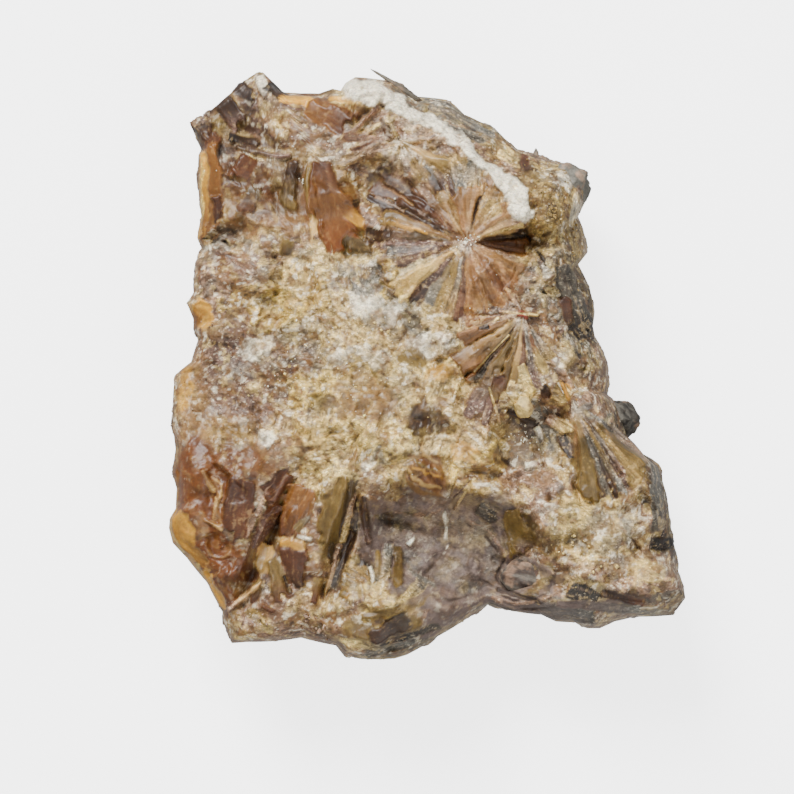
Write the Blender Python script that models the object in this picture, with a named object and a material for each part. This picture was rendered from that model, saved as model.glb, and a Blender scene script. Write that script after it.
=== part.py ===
"""Daisy gypsum specimen, lying on its back: one broken piece of gypsum grown in clay.

The whole lump is one solid. A lattice cube is bent to the outline, face relief and
broken underside of the lump, and the crystal blades, the white vein and the rounded
lumps that grew with it are fused to it by Boolean unions.

Lengths below are in millimetres, on a frame whose +X runs to the right of the crystal
face, +Y to its top and +Z out of it. The object itself is made in metres.
"""

import math
from collections import namedtuple

import bmesh
import bpy
import numpy as np
from mathutils import Euler, Matrix

MM = 0.001

# ---- Driving dimensions (mm) ----
FACE_LEVEL = 17.0
FACE_DOME = 0.0022
BLOCK_SIZE = 3.6
BLOCK_RELIEF = 0.9
FACE_ROUGHNESS = 0.55
UNDERSIDE_LEVEL = -0.8
UNDERSIDE_LIFT = 2.6
UNDERSIDE_ROUGHNESS = 1.5
SIDE_ROUGHNESS = 1.3
LUMP_ROUGHNESS = 0.32
BASE_SHARE = 0.84
LATTICE_CUTS = (31, 36, 4)
LATTICE_SHAKE = 0.36
BLADE_DEPTH = 3.2
MERGE_ANGLE = 12.0
SEED = 7

# The broken edge of the lump from above, clockwise from its top left corner.
OUTLINE = (
    (-24.0, 24.3), (-23.2, 25.0), (-21.5, 26.4), (-19.8, 27.9), (-18.2, 29.1), (-16.8, 29.6),
    (-15.8, 28.7), (-14.8, 27.7), (-13.0, 27.6), (-11.2, 27.6), (-9.8, 28.1), (-9.0, 27.9),
    (-8.5, 28.7), (-7.5, 29.3), (-5.2, 29.1), (-4.0, 29.0), (-2.5, 28.2), (-1.4, 27.4),
    (1.8, 27.1), (2.6, 26.6), (3.7, 25.5), (6.8, 24.1), (7.8, 23.1), (9.0, 22.1),
    (12.5, 20.8), (14.5, 20.6), (15.2, 19.6), (16.0, 18.4), (16.1, 17.0), (15.3, 15.2),
    (15.8, 14.0), (16.2, 11.5), (15.3, 10.3), (16.4, 8.1), (17.0, 5.5), (16.8, 4.0),
    (17.0, 3.0), (18.3, 0.3), (18.2, -3.0), (19.0, -3.7), (20.3, -7.3), (21.0, -8.0),
    (22.2, -9.5), (23.4, -10.5), (24.2, -13.0), (24.7, -16.5), (25.3, -21.0), (26.0, -22.5),
    (26.2, -23.8), (25.0, -25.5), (21.0, -25.7), (19.0, -26.2), (17.5, -26.9), (16.2, -26.9),
    (15.0, -26.3), (13.0, -26.2), (11.5, -25.5), (8.0, -25.0), (6.0, -24.4), (3.5, -26.1),
    (1.0, -27.6), (-2.2, -29.5), (-3.5, -29.9), (-7.0, -29.9), (-8.5, -29.5), (-9.5, -28.5),
    (-13.0, -27.7), (-18.5, -28.1), (-20.0, -28.2), (-20.9, -26.0), (-20.9, -25.0),
    (-22.5, -22.0), (-24.5, -19.5), (-25.9, -18.0), (-26.3, -16.5), (-26.2, -15.5),
    (-25.6, -14.5), (-25.5, -12.5), (-25.9, -11.0), (-25.6, -8.5), (-25.8, -2.5),
    (-25.6, -1.0), (-24.0, 0.3), (-23.3, 2.5), (-23.8, 4.7), (-24.4, 6.2), (-23.7, 7.3),
    (-23.6, 10.3), (-22.8, 11.7), (-23.4, 12.8), (-23.0, 15.0), (-23.3, 21.2), (-23.0, 21.8),
    (-23.6, 23.3),
)

# Where the crystal face rolls over to the broken sides: at each bearing round the lump,
# how wide the roll is and how high the widest edge then stands.
Shoulder = namedtuple("Shoulder", "bearing width rim_height")
SHOULDERS = (
    Shoulder(-180, 2.2, 12.5),
    Shoulder(-145, 2.6, 11.5),
    Shoulder(-118, 2.4, 9.5),
    Shoulder(-96, 2.6, 8.0),
    Shoulder(-72, 3.2, 7.0),
    Shoulder(-55, 4.4, 6.5),
    Shoulder(-40, 3.0, 7.5),
    Shoulder(-18, 3.6, 8.0),
    Shoulder(10, 5.0, 7.0),
    Shoulder(42, 6.0, 7.0),
    Shoulder(62, 5.2, 7.5),
    Shoulder(88, 4.6, 8.5),
    Shoulder(112, 3.2, 10.0),
    Shoulder(135, 2.6, 11.5),
    Shoulder(160, 2.0, 13.0),
)

# Swellings and hollows of the crystal face. A larger edge gives a flatter top and a
# steeper side.
Swell = namedtuple("Swell", "name x y length width heading height edge")
SWELLS = (
    Swell("upper_daisy_mound", 3.8, 12.5, 11.0, 9.0, 0, 1.2, 2),
    Swell("upper_left_plates", -13.0, 17.5, 9.0, 6.0, 90, 0.6, 3),
    Swell("large_plate_step", -7.3, 12.0, 2.2, 1.6, 0, -1.3, 3),
    Swell("dark_blade_pocket", -4.5, 17.6, 3.8, 2.4, 140, -1.7, 2),
    Swell("corner_clay", -19.0, 26.5, 5.0, 3.0, 40, -1.5, 2),
    Swell("corner_hollow", -18.0, 22.8, 3.4, 1.2, -25, -1.4, 2),
    Swell("left_band_hollow", -20.0, 12.8, 2.8, 1.0, 15, -1.3, 2),
    Swell("left_ledge", -19.5, 9.5, 4.5, 2.0, -8, 0.7, 2),
    Swell("dished_print", -17.5, -2.5, 8.0, 5.2, 25, -1.0, 2),
    Swell("cream_crest", -4.0, -4.0, 11.0, 4.0, -52, 0.9, 2),
    Swell("daisy_wedge_pocket", 9.2, 12.4, 3.6, 1.4, 4, -3.4, 2),
    Swell("ochre_flank", 12.0, 16.5, 5.0, 3.6, -50, 0.9, 2),
    Swell("grey_pocket", 10.4, -7.6, 4.6, 4.2, 80, -2.4, 3),
    Swell("right_spray_ridge", 19.0, -9.5, 9.0, 3.0, -58, 1.1, 2),
    Swell("right_brown_hollow", 19.2, -6.4, 2.6, 1.3, -60, -1.4, 2),
    Swell("olive_pocket", 9.2, -16.8, 2.8, 1.6, 100, -2.2, 3),
    Swell("lower_right_crust", 16.0, -18.8, 9.0, 4.0, -20, 1.5, 3),
    Swell("lower_right_cave", 22.6, -18.2, 2.8, 1.7, 20, -2.6, 2),
    Swell("clay_hollow", 2.6, -18.4, 10.0, 5.2, -14, -4.2, 4),
    Swell("clay_slot", -1.2, -15.9, 5.0, 0.9, -12, -1.4, 2),
    Swell("bottom_nose", -5.5, -26.0, 6.0, 2.8, 20, 1.0, 2),
    Swell("lower_left_amber", -20.5, -14.0, 8.5, 5.0, 80, 1.6, 3),
    Swell("amber_groove", -16.4, -17.5, 6.5, 0.9, 66, -2.2, 2),
    Swell("blade_groove", -9.0, -18.3, 6.0, 1.0, 72, -2.4, 2),
)

# A run of flat crystal blades. Each leaves its root at a bearing (degrees) and has a
# length and a width at its far end; lift is its height over the face, and cant raises
# its left edge and lowers its right one. root_share is the share of its width that a
# blade has at the root.
Blade = namedtuple("Blade", "bearing length width lift cant")
Spray = namedtuple("Spray", "name x y root_gap root_share blades")
SPRAYS = (
    Spray("upper_daisy", 3.8, 12.5, 0.4, 0.3, (
        Blade(18, 6.3, 2.4, 0.9, -0.3), Blade(42, 6.0, 2.6, 0.8, 0.3),
        Blade(64, 6.8, 2.3, 0.6, -0.4), Blade(83, 8.2, 2.2, 0.7, 0.4),
        Blade(101, 8.6, 2.4, 0.9, -0.3), Blade(119, 8.4, 2.2, 0.5, 0.4),
        Blade(134, 10.6, 1.8, 0.9, -0.5), Blade(144, 11.4, 1.5, 0.4, 0.6),
        Blade(154, 11.0, 1.8, 1.0, -0.4), Blade(166, 10.0, 1.7, 0.5, 0.4),
        Blade(180, 9.2, 2.2, 0.6, 0.3), Blade(197, 9.0, 2.0, 0.8, -0.3),
        Blade(214, 9.2, 2.1, 1.0, 0.3), Blade(232, 8.2, 1.6, 0.2, -0.4),
        Blade(247, 7.6, 1.8, 0.7, 0.4), Blade(262, 8.6, 1.5, 0.9, -0.4),
        Blade(279, 8.4, 2.4, 0.8, 0.3), Blade(300, 7.4, 2.4, 0.9, -0.3),
        Blade(322, 6.6, 2.4, 0.8, 0.3), Blade(348, 7.0, 2.0, -1.6, 0.2),
    )),
    Spray("lower_daisy", 9.5, 5.3, 0.4, 0.3, (
        Blade(186, 6.4, 1.5, 0.6, 0.3), Blade(203, 7.6, 1.8, 0.8, -0.3),
        Blade(219, 9.4, 1.4, 1.0, 0.4), Blade(231, 9.8, 1.7, 0.8, -0.4),
        Blade(243, 11.8, 1.8, 0.9, 0.4), Blade(256, 9.6, 1.6, 0.7, -0.3),
        Blade(270, 6.4, 1.3, 0.5, 0.3), Blade(285, 7.6, 1.3, 0.6, -0.3),
        Blade(302, 5.6, 1.3, 0.4, 0.3), Blade(120, 3.6, 1.2, 0.4, 0.2),
    )),
    Spray("right_spray", 14.4, -3.2, 0.4, 0.4, (
        Blade(276, 6.6, 1.4, 0.6, 0.3), Blade(285, 11.4, 2.6, 0.9, -0.4),
        Blade(294, 11.6, 1.3, 1.2, 0.4), Blade(302, 11.4, 1.5, 0.8, -0.3),
        Blade(311, 10.2, 1.9, 0.5, 0.3), Blade(322, 9.2, 1.5, 0.9, -0.2),
    )),
    Spray("lower_left_spray", -6.6, -9.4, 2.4, 0.55, (
        Blade(203, 9.6, 2.6, 0.2, 0.3), Blade(214, 13.6, 3.2, 0.6, 0.5),
        Blade(224, 16.6, 2.6, 0.3, -0.6), Blade(232, 13.0, 2.4, 0.9, 0.5),
        Blade(241, 17.4, 2.4, 0.4, -0.5), Blade(249, 11.0, 2.8, 1.5, -0.6),
        Blade(257, 13.8, 1.2, 1.9, 0.2),
    )),
    Spray("left_amber_plates", -18.6, -7.6, 1.2, 0.7, (
        Blade(236, 9.0, 3.2, 0.5, -0.5), Blade(256, 13.6, 3.4, 0.8, 0.6),
        Blade(274, 15.6, 3.0, 0.5, -0.6), Blade(290, 12.4, 2.6, 0.2, 0.5),
    )),
    Spray("upper_left_spray", -13.2, 22.4, 2.0, 0.5, (
        Blade(198, 9.0, 2.2, 0.5, 0.3), Blade(222, 8.2, 2.0, 0.2, -0.3),
        Blade(238, 8.8, 2.2, 0.5, 0.3), Blade(266, 6.6, 2.0, 0.4, -0.4),
        Blade(288, 9.0, 3.0, 1.0, 0.3), Blade(303, 12.6, 3.8, 1.2, -0.3),
    )),
    Spray("left_edge_plates", -21.6, 23.2, 0.2, 0.6, (
        Blade(268, 9.6, 1.9, 0.4, 0.3), Blade(283, 8.8, 1.7, 0.5, -0.3),
    )),
    Spray("top_plates", -15.4, 26.4, 0.4, 0.5, (
        Blade(-6, 8.6, 1.7, 0.7, -0.2), Blade(-26, 8.4, 2.4, 0.9, 0.3),
    )),
    Spray("top_rosette", -2.8, 22.4, 0.5, 0.4, (
        Blade(98, 5.0, 1.3, 0.5, 0.3), Blade(128, 4.8, 1.3, 0.7, -0.3),
        Blade(152, 6.0, 1.3, 0.6, 0.3), Blade(176, 6.6, 1.4, 0.7, -0.3),
        Blade(200, 7.2, 1.4, 0.5, 0.3), Blade(20, 5.2, 1.4, 0.5, -0.3),
        Blade(330, 6.0, 1.7, 0.6, 0.3), Blade(300, 4.6, 1.6, 0.5, -0.3),
    )),
    Spray("bottom_blades", -7.6, -20.6, 0.8, 0.5, (
        Blade(325, 6.2, 1.5, 0.7, 0.3), Blade(300, 6.8, 1.5, 0.4, -0.3),
        Blade(15, 5.6, 1.4, 0.6, 0.3), Blade(345, 8.4, 1.8, 0.5, -0.3),
        Blade(215, 8.0, 1.6, 0.5, 0.2), Blade(192, 9.4, 1.6, 0.3, -0.2),
    )),
)

# The white fibrous vein, from its top end to where it meets the daisy.
VEIN = ((-7.2, 27.6), (-3.0, 26.2), (0.6, 24.3), (3.8, 22.0), (6.2, 19.6), (8.2, 17.2), (9.2, 15.4))
VEIN_WIDTH = 1.9
VEIN_RISE = 0.9

# Rounded lumps that stand from the mass.
Lump = namedtuple("Lump", "name x y z length width height heading")
LUMPS = (
    Lump("clay_knob", 10.2, -21.6, 11.6, 3.2, 2.0, 2.2, -15),
    Lump("right_side_knob", 19.4, -5.4, 9.0, 2.2, 1.9, 2.6, -50),
    Lump("cream_nodule", 9.6, -4.4, 16.6, 1.1, 1.2, 1.3, 0),
    Lump("pale_boss", 0.6, 1.9, 16.7, 2.2, 1.3, 1.2, 10),
    Lump("daisy_heart", 3.8, 12.4, 17.5, 1.35, 1.2, 1.25, 0),
    Lump("upper_right_knob", 13.8, 17.8, 11.4, 2.4, 2.2, 2.4, 40),
)

# Thin splinters that stand past the broken edge, root to tip.
Splinter = namedtuple("Splinter", "name root tip width depth")
SPLINTERS = (
    Splinter("top_splinter", (-0.6, 26.4, 11.4), (-5.9, 29.9, 12.6), 0.9, 0.9),
    Splinter("upper_right_splinter", (10.8, 20.4, 8.4), (11.0, 21.9, 9.0), 0.7, 0.7),
    Splinter("left_splinter", (-22.6, 5.4, 12.6), (-24.5, 6.2, 13.2), 1.0, 0.8),
)


def clear_scene():
    """Removes whatever the file opened with."""
    for obj in list(bpy.data.objects):
        bpy.data.objects.remove(obj, do_unlink=True)


def lattice_noise(points, wavelength, seed):
    """Smooth noise from -1 to 1: random values on a cubic lattice, eased between corners."""
    scaled = points / wavelength
    cell = np.floor(scaled).astype(np.int64)
    part = scaled - cell
    ease = part * part * (3 - 2 * part)
    total = np.zeros(len(points))
    for corner in np.ndindex(2, 2, 2):
        where = cell + corner
        mixed = where[:, 0] * 73856093 ^ where[:, 1] * 19349663 ^ where[:, 2] * 83492791 ^ seed * 2654435
        mixed = (mixed ^ (mixed >> 13)) * 1274126177 & 0xFFFFFF
        share = np.prod(np.where(corner, ease, 1 - ease), axis=1)
        total += share * (mixed / 0x7FFFFF - 1)
    return total


def rough(points, wavelength, octaves, seed):
    """Sums octaves of lattice noise, each half as wide and half as strong as the last."""
    return sum(
        lattice_noise(points, wavelength / 2**k, seed + k) / 2**k for k in range(octaves)
    )


def cell_value(cell, seed):
    """An even random value from -1 to 1 for each cell of a flat lattice."""
    mixed = cell[:, 0] * 374761393 + cell[:, 1] * 668265263 + seed * 2246822519
    mixed = (mixed ^ (mixed >> 13)) * 1274126177 & 0xFFFFFF
    return mixed / 0x7FFFFF - 1


def crystal_blocks(x, y, size, seed):
    """Height of a floor of flat-topped blocks, each at a level and a tilt of its own.

    Every lattice cell holds one block centre, shaken off its place. A point belongs to
    the nearest centre and lies on that block's tilted top.
    """
    cell = np.floor(np.stack([x, y], axis=1) / size).astype(np.int64)
    nearest = np.full(len(x), np.inf)
    height = np.zeros(len(x))
    for step in np.ndindex(3, 3):
        where = cell + np.array(step) - 1
        away_x = x / size - where[:, 0] - 0.5 - 0.45 * cell_value(where, seed)
        away_y = y / size - where[:, 1] - 0.5 - 0.45 * cell_value(where, seed + 1)
        gap = np.hypot(away_x, away_y)
        level = 0.6 * cell_value(where, seed + 2)
        level += 0.8 * away_x * cell_value(where, seed + 3)
        level += 0.8 * away_y * cell_value(where, seed + 4)
        closer = gap < nearest
        nearest = np.where(closer, gap, nearest)
        height = np.where(closer, level, height)
    return height


def edge_radius(bearing):
    """Distance from the lump's axis to its outline at each bearing (radians)."""
    corners = np.array(OUTLINE)
    angles = np.arctan2(corners[:, 1], corners[:, 0])
    order = np.argsort(angles)
    radii = np.hypot(corners[:, 0], corners[:, 1])
    return np.interp(bearing, angles[order], radii[order], period=2 * math.pi)


def shoulder_at(bearing):
    """Width of the rolled shoulder and height of the widest edge at each bearing (radians)."""
    stations = np.radians([s.bearing for s in SHOULDERS])
    widths = [s.width for s in SHOULDERS]
    heights = [s.rim_height for s in SHOULDERS]
    period = 2 * math.pi
    return (
        np.interp(bearing, stations, widths, period=period),
        np.interp(bearing, stations, heights, period=period),
    )


def swell_relief(x, y):
    """Sum of the named swellings and hollows at each point of the face."""
    total = np.zeros_like(x)
    for swell in SWELLS:
        turn = math.radians(swell.heading)
        along = (x - swell.x) * math.cos(turn) + (y - swell.y) * math.sin(turn)
        across = (y - swell.y) * math.cos(turn) - (x - swell.x) * math.sin(turn)
        reach = (along / swell.length) ** 2 + (across / swell.width) ** 2
        total += swell.height * np.exp(-(reach**swell.edge))
    return total


def in_clay(x, y):
    """How far each point lies in a smooth patch: 1 in the clay hollow and the old print."""
    hollow = ((x - 2.6) / 9.5) ** 2 + ((y + 18.4) / 5.4) ** 2
    printed = ((x + 17.0) / 7.5) ** 2 + ((y + 2.5) / 5.0) ** 2
    return np.clip(np.exp(-(hollow**3)) + np.exp(-(printed**2)), 0, 1)


def face_height(x, y):
    """Height of the lump's upper surface: a domed face that rolls over at its shoulders."""
    bearing = np.arctan2(y, x)
    width, rim_height = shoulder_at(bearing)
    inside = edge_radius(bearing) - np.hypot(x, y)
    roll = np.clip(inside / width, 0, 1)
    roll = np.sqrt(1 - (1 - roll) ** 2)
    flat = np.stack([x, y, np.zeros_like(x)], axis=1)
    face = FACE_LEVEL - FACE_DOME * (x**2 + y**2) + swell_relief(x, y)
    face += FACE_ROUGHNESS * rough(flat, 6.0, 3, SEED)
    face += BLOCK_RELIEF * crystal_blocks(x, y, BLOCK_SIZE, SEED) * (1 - 0.7 * in_clay(x, y))
    return rim_height + (face - rim_height) * roll


def lump_points(cube):
    """Bends the points of a cube from -1 to 1 to the specimen's form, in millimetres.

    Level rings of the cube become rings of the outline. Its top follows the crystal face,
    its sides fall in from the rim, and its bottom is the broken underside, cut off flat.
    """
    ring = np.maximum(np.abs(cube[:, 0]), np.abs(cube[:, 1]))
    bearing = np.arctan2(cube[:, 1], cube[:, 0])
    reach = ring * edge_radius(bearing)
    rim_height = shoulder_at(bearing)[1]
    depth = (1 - cube[:, 2]) / 2
    on_top = cube[:, 2] > 1 - 1e-6
    tuck = np.where(on_top, 1, 1 - (1 - BASE_SHARE) * depth**1.1)
    x = reach * tuck * np.cos(bearing)
    y = reach * tuck * np.sin(bearing)
    flat = np.stack([x, y, np.zeros_like(x)], axis=1)
    base = UNDERSIDE_LEVEL + UNDERSIDE_LIFT * ring**4
    base += UNDERSIDE_ROUGHNESS * rough(flat, 9.0, 2, SEED + 30)
    base += 0.5 * crystal_blocks(x, y, 5.0, SEED + 60)
    side = rim_height + (base - rim_height) * depth**0.8
    points = np.stack([x, y, np.where(on_top, face_height(x, y), side)], axis=1)
    shake = np.where(on_top, 0.0, SIDE_ROUGHNESS) * np.sin(math.pi * depth**0.7)
    points[:, 0] += shake * rough(points, 7.0, 3, SEED + 10)
    points[:, 1] += shake * rough(points, 7.0, 3, SEED + 20)
    return points


def lattice_cube():
    """A cube from -1 to 1, its faces divided into an even lattice of squares."""
    bm = bmesh.new()
    bmesh.ops.create_cube(bm, size=2.0)
    for axis, cuts in enumerate(LATTICE_CUTS):
        edges = [e for e in bm.edges if abs((e.verts[0].co - e.verts[1].co)[axis]) > 1e-6]
        bmesh.ops.subdivide_edges(bm, edges=edges, cuts=cuts, use_grid_fill=True)
    return bm


def shaken(cube):
    """Moves the lattice points inside the top face off their even places, within the face."""
    cell = 2 / (np.array(LATTICE_CUTS[:2]) + 1)
    inside = (np.abs(cube[:, :2]) < 1 - 1e-6).all(axis=1) & (cube[:, 2] > 1 - 1e-6)
    steps = np.random.default_rng(SEED).uniform(-1, 1, (len(cube), 2))
    moved = cube.copy()
    moved[:, :2] += np.where(inside[:, None], LATTICE_SHAKE * cell * steps, 0)
    return moved


def add_object(name, bm, collection, material=None):
    """Puts a bmesh into a new object of the collection."""
    mesh = bpy.data.meshes.new(name)
    bm.to_mesh(mesh)
    bm.free()
    obj = bpy.data.objects.new(name, mesh)
    collection.objects.link(obj)
    if material:
        mesh.materials.append(material)
    return obj


def cut_flat_base(bm):
    """Cuts the underside off level at z = 0, to leave the flat patches that it rests on."""
    cut = bmesh.ops.bisect_plane(
        bm, geom=bm.verts[:] + bm.edges[:] + bm.faces[:], plane_co=(0, 0, 0),
        plane_no=(0, 0, -1), clear_outer=True,
    )
    rim = [e for e in cut["geom_cut"] if isinstance(e, bmesh.types.BMEdge)]
    bmesh.ops.holes_fill(bm, edges=rim, sides=0)


def merge_flat_faces(bm):
    """Merges the nearly level faces of the underside, which needs less detail."""
    edges = [e for e in bm.edges if all(f.normal.z < -0.5 for f in e.link_faces)]
    bmesh.ops.dissolve_limit(bm, angle_limit=math.radians(MERGE_ANGLE), edges=edges)


def make_lump(name, collection, material):
    """The broken mass itself: a lattice cube bent to the specimen's form."""
    bm = lattice_cube()
    points = lump_points(shaken(np.array([v.co[:] for v in bm.verts])))
    for vert, point in zip(bm.verts, points * MM):
        vert.co = point
    cut_flat_base(bm)
    bmesh.ops.recalc_face_normals(bm, faces=bm.faces)
    merge_flat_faces(bm)
    bmesh.ops.triangulate(bm, faces=bm.faces)
    bmesh.ops.recalc_face_normals(bm, faces=bm.faces)
    return add_object(name, bm, collection, material)


def wedge(collection, name, root, tip, root_width, tip_width, depth, cant):
    """A crystal blade: a cube tapered towards its root, with a canted top and a chisel tip.

    root and tip are the middle of its top face at each end, in millimetres.
    """
    bm = bmesh.new()
    bmesh.ops.create_cube(bm, size=2.0)
    root, tip = np.array(root), np.array(tip)
    along = tip - root
    length = np.linalg.norm(along[:2])
    side = np.array([-along[1], along[0], 0]) / length
    chisel = 0.16 * along
    for vert in bm.verts:
        far, left, top = vert.co.x > 0, np.sign(vert.co.y), vert.co.z > 0
        width = tip_width if far else root_width
        place = tip.copy() if far else root.copy()
        place += side * left * width / 2
        place[2] += left * cant * (1.0 if far else 0.3)
        if far:
            place -= chisel * (0.5 if left > 0 else 0.0)
        if not top:
            place[2] -= depth
            place -= side * left * width * 0.12
        vert.co = place * MM
    bmesh.ops.recalc_face_normals(bm, faces=bm.faces)
    return add_object(name, bm, collection)


def surface_at(x, y):
    """Height of the lump's upper surface at one point."""
    return float(face_height(np.array([x]), np.array([y]))[0])


def make_sprays(collection):
    """Every blade of every spray, lying on the face and sunk into it."""
    for spray in SPRAYS:
        root_level = surface_at(spray.x, spray.y)
        for count, blade in enumerate(spray.blades):
            turn = math.radians(blade.bearing)
            direction = np.array([math.cos(turn), math.sin(turn)])
            start = np.array([spray.x, spray.y]) + direction * spray.root_gap
            end = np.array([spray.x, spray.y]) + direction * blade.length
            level = surface_at(*end) + blade.lift
            start_level = max(root_level, surface_at(*start)) + 0.35 + min(blade.lift, 0) * 0.5
            wedge(
                collection, f"{spray.name}_blade_{count + 1}",
                (*start, start_level), (*end, level),
                spray.root_share * blade.width, blade.width, BLADE_DEPTH, blade.cant,
            )


def make_vein(collection):
    """The white vein: straight-sided lengths of fibrous gypsum laid end to end."""
    for count, (start, end) in enumerate(zip(VEIN[:-1], VEIN[1:])):
        step = np.array(end) - np.array(start)
        overlap = 0.3 * step / np.linalg.norm(step)
        first, last = np.array(start) - overlap, np.array(end) + overlap
        wedge(
            collection, f"vein_{count + 1}",
            (*first, surface_at(*start) + VEIN_RISE), (*last, surface_at(*end) + VEIN_RISE),
            VEIN_WIDTH * (0.95 + 0.02 * count), VEIN_WIDTH, BLADE_DEPTH, 0.12,
        )


def make_lumps(collection):
    """The rounded knobs: spheres stretched and turned, left in flat facets."""
    for lump in LUMPS:
        bm = bmesh.new()
        bmesh.ops.create_icosphere(bm, subdivisions=2, radius=1.0)
        size = Matrix.Diagonal((lump.length, lump.width, lump.height, 1.0))
        turn = Euler((0, 0, math.radians(lump.heading))).to_matrix().to_4x4()
        bm.transform(turn @ size)
        points = np.array([v.co[:] for v in bm.verts]) + (lump.x, lump.y, lump.z)
        points += LUMP_ROUGHNESS * rough(points, 1.7, 1, SEED + 40)[:, None]
        for vert, point in zip(bm.verts, points * MM):
            vert.co = point
        add_object(lump.name, bm, collection)


def make_splinters(collection):
    """The thin splinters that stand past the edge."""
    for splinter in SPLINTERS:
        wedge(
            collection, splinter.name, splinter.root, splinter.tip,
            1.4 * splinter.width, 0.5 * splinter.width, splinter.depth, 0.1,
        )


def shells(bm):
    """The separate closed skins of a bmesh, each a set of its faces."""
    waiting = set(bm.faces)
    found = []
    while waiting:
        front = [waiting.pop()]
        skin = set(front)
        while front:
            near = {f for e in front.pop().edges for f in e.link_faces} & waiting
            waiting -= near
            skin |= near
            front.extend(near)
        found.append(skin)
    return found


def keep_outer_skin(obj):
    """Applies the object's modifiers, and fills the gaps that blades closed over.

    A gap sealed under the blades has a skin of its own. Without that skin it is solid.
    """
    graph = bpy.context.evaluated_depsgraph_get()
    bm = bmesh.new()
    bm.from_object(obj, graph)
    outer = max(shells(bm), key=len)
    bmesh.ops.delete(bm, geom=[f for f in bm.faces if f not in outer], context="FACES")
    bmesh.ops.triangulate(bm, faces=bm.faces)
    obj.modifiers.clear()
    bm.to_mesh(obj.data)
    bm.free()


def matrix_material():
    """Brown, cream and grey gypsum in clay: dull, and not metallic."""
    material = bpy.data.materials.new("gypsum_in_clay")
    material.use_nodes = True
    shader = material.node_tree.nodes["Principled BSDF"]
    shader.inputs["Base Color"].default_value = (0.42, 0.31, 0.20, 1.0)
    shader.inputs["Roughness"].default_value = 0.55
    shader.inputs["Metallic"].default_value = 0.0
    material.diffuse_color = (0.42, 0.31, 0.20, 1.0)
    return material


def main():
    """Builds the specimen as one solid."""
    clear_scene()
    specimen = bpy.data.collections.new("daisy_gypsum_specimen")
    crystals = bpy.data.collections.new("crystals_to_fuse")
    for collection in (specimen, crystals):
        bpy.context.scene.collection.children.link(collection)
    lump = make_lump("daisy_gypsum", specimen, matrix_material())
    make_sprays(crystals)
    make_vein(crystals)
    make_lumps(crystals)
    make_splinters(crystals)
    for obj in crystals.objects:
        obj.hide_render = True
        obj.display_type = "WIRE"
    fuse = lump.modifiers.new("fuse_crystals", "BOOLEAN")
    fuse.operation = "UNION"
    fuse.operand_type = "COLLECTION"
    fuse.collection = crystals
    fuse.solver = "EXACT"
    fuse.use_self = True
    keep_outer_skin(lump)


main()
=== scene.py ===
"""Daisy gypsum specimen: the visual, built over the CAD solid in the same frame.

Lengths are in millimetres until a mesh is made. +X is to the right of the crystal face,
+Y to its top and +Z out of it.
"""

from __future__ import annotations

import logging
import math
from collections.abc import Callable
from dataclasses import dataclass
from enum import Enum
from functools import cached_property, partial

import bpy
import numpy as np
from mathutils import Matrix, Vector


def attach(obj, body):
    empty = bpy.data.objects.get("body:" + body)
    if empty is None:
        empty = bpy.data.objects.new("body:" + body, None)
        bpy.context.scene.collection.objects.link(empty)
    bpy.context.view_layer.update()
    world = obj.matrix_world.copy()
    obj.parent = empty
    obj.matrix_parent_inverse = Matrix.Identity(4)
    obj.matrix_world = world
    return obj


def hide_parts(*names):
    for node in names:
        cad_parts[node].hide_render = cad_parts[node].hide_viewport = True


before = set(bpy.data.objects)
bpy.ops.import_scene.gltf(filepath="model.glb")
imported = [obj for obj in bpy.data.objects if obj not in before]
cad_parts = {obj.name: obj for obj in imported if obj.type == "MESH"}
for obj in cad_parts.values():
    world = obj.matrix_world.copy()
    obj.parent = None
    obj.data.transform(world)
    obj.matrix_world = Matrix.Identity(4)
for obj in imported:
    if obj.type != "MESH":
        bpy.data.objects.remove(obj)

LOG = logging.getLogger("specimen")
MM = 0.001
NODE = "daisy_gypsum"
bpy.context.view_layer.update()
SHARP_ANGLE = math.radians(70)  # edges steeper than this shade as broken edges

Array = np.ndarray


# ---- colours and minerals


def linear(colour: str) -> Array:
    """Turns an sRGB hex colour into linear RGB.

    Args:
        colour: the colour, such as "#A0B0C0".

    Returns:
        Its red, green and blue as linear values.
    """
    raw = np.array([int(colour[k : k + 2], 16) for k in (1, 3, 5)]) / 255
    return np.where(raw <= 0.04045, raw / 12.92, ((raw + 0.055) / 1.055) ** 2.4)


@dataclass(frozen=True)
class Look:
    """What one mineral gives the eye.

    colour is its sRGB hex colour, rough its surface roughness, clear how far light goes
    into it (0 chalk to 1 clear amber), and grainy how much it breaks into small blocks.
    """

    colour: str
    rough: float
    clear: float
    grainy: float


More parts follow.
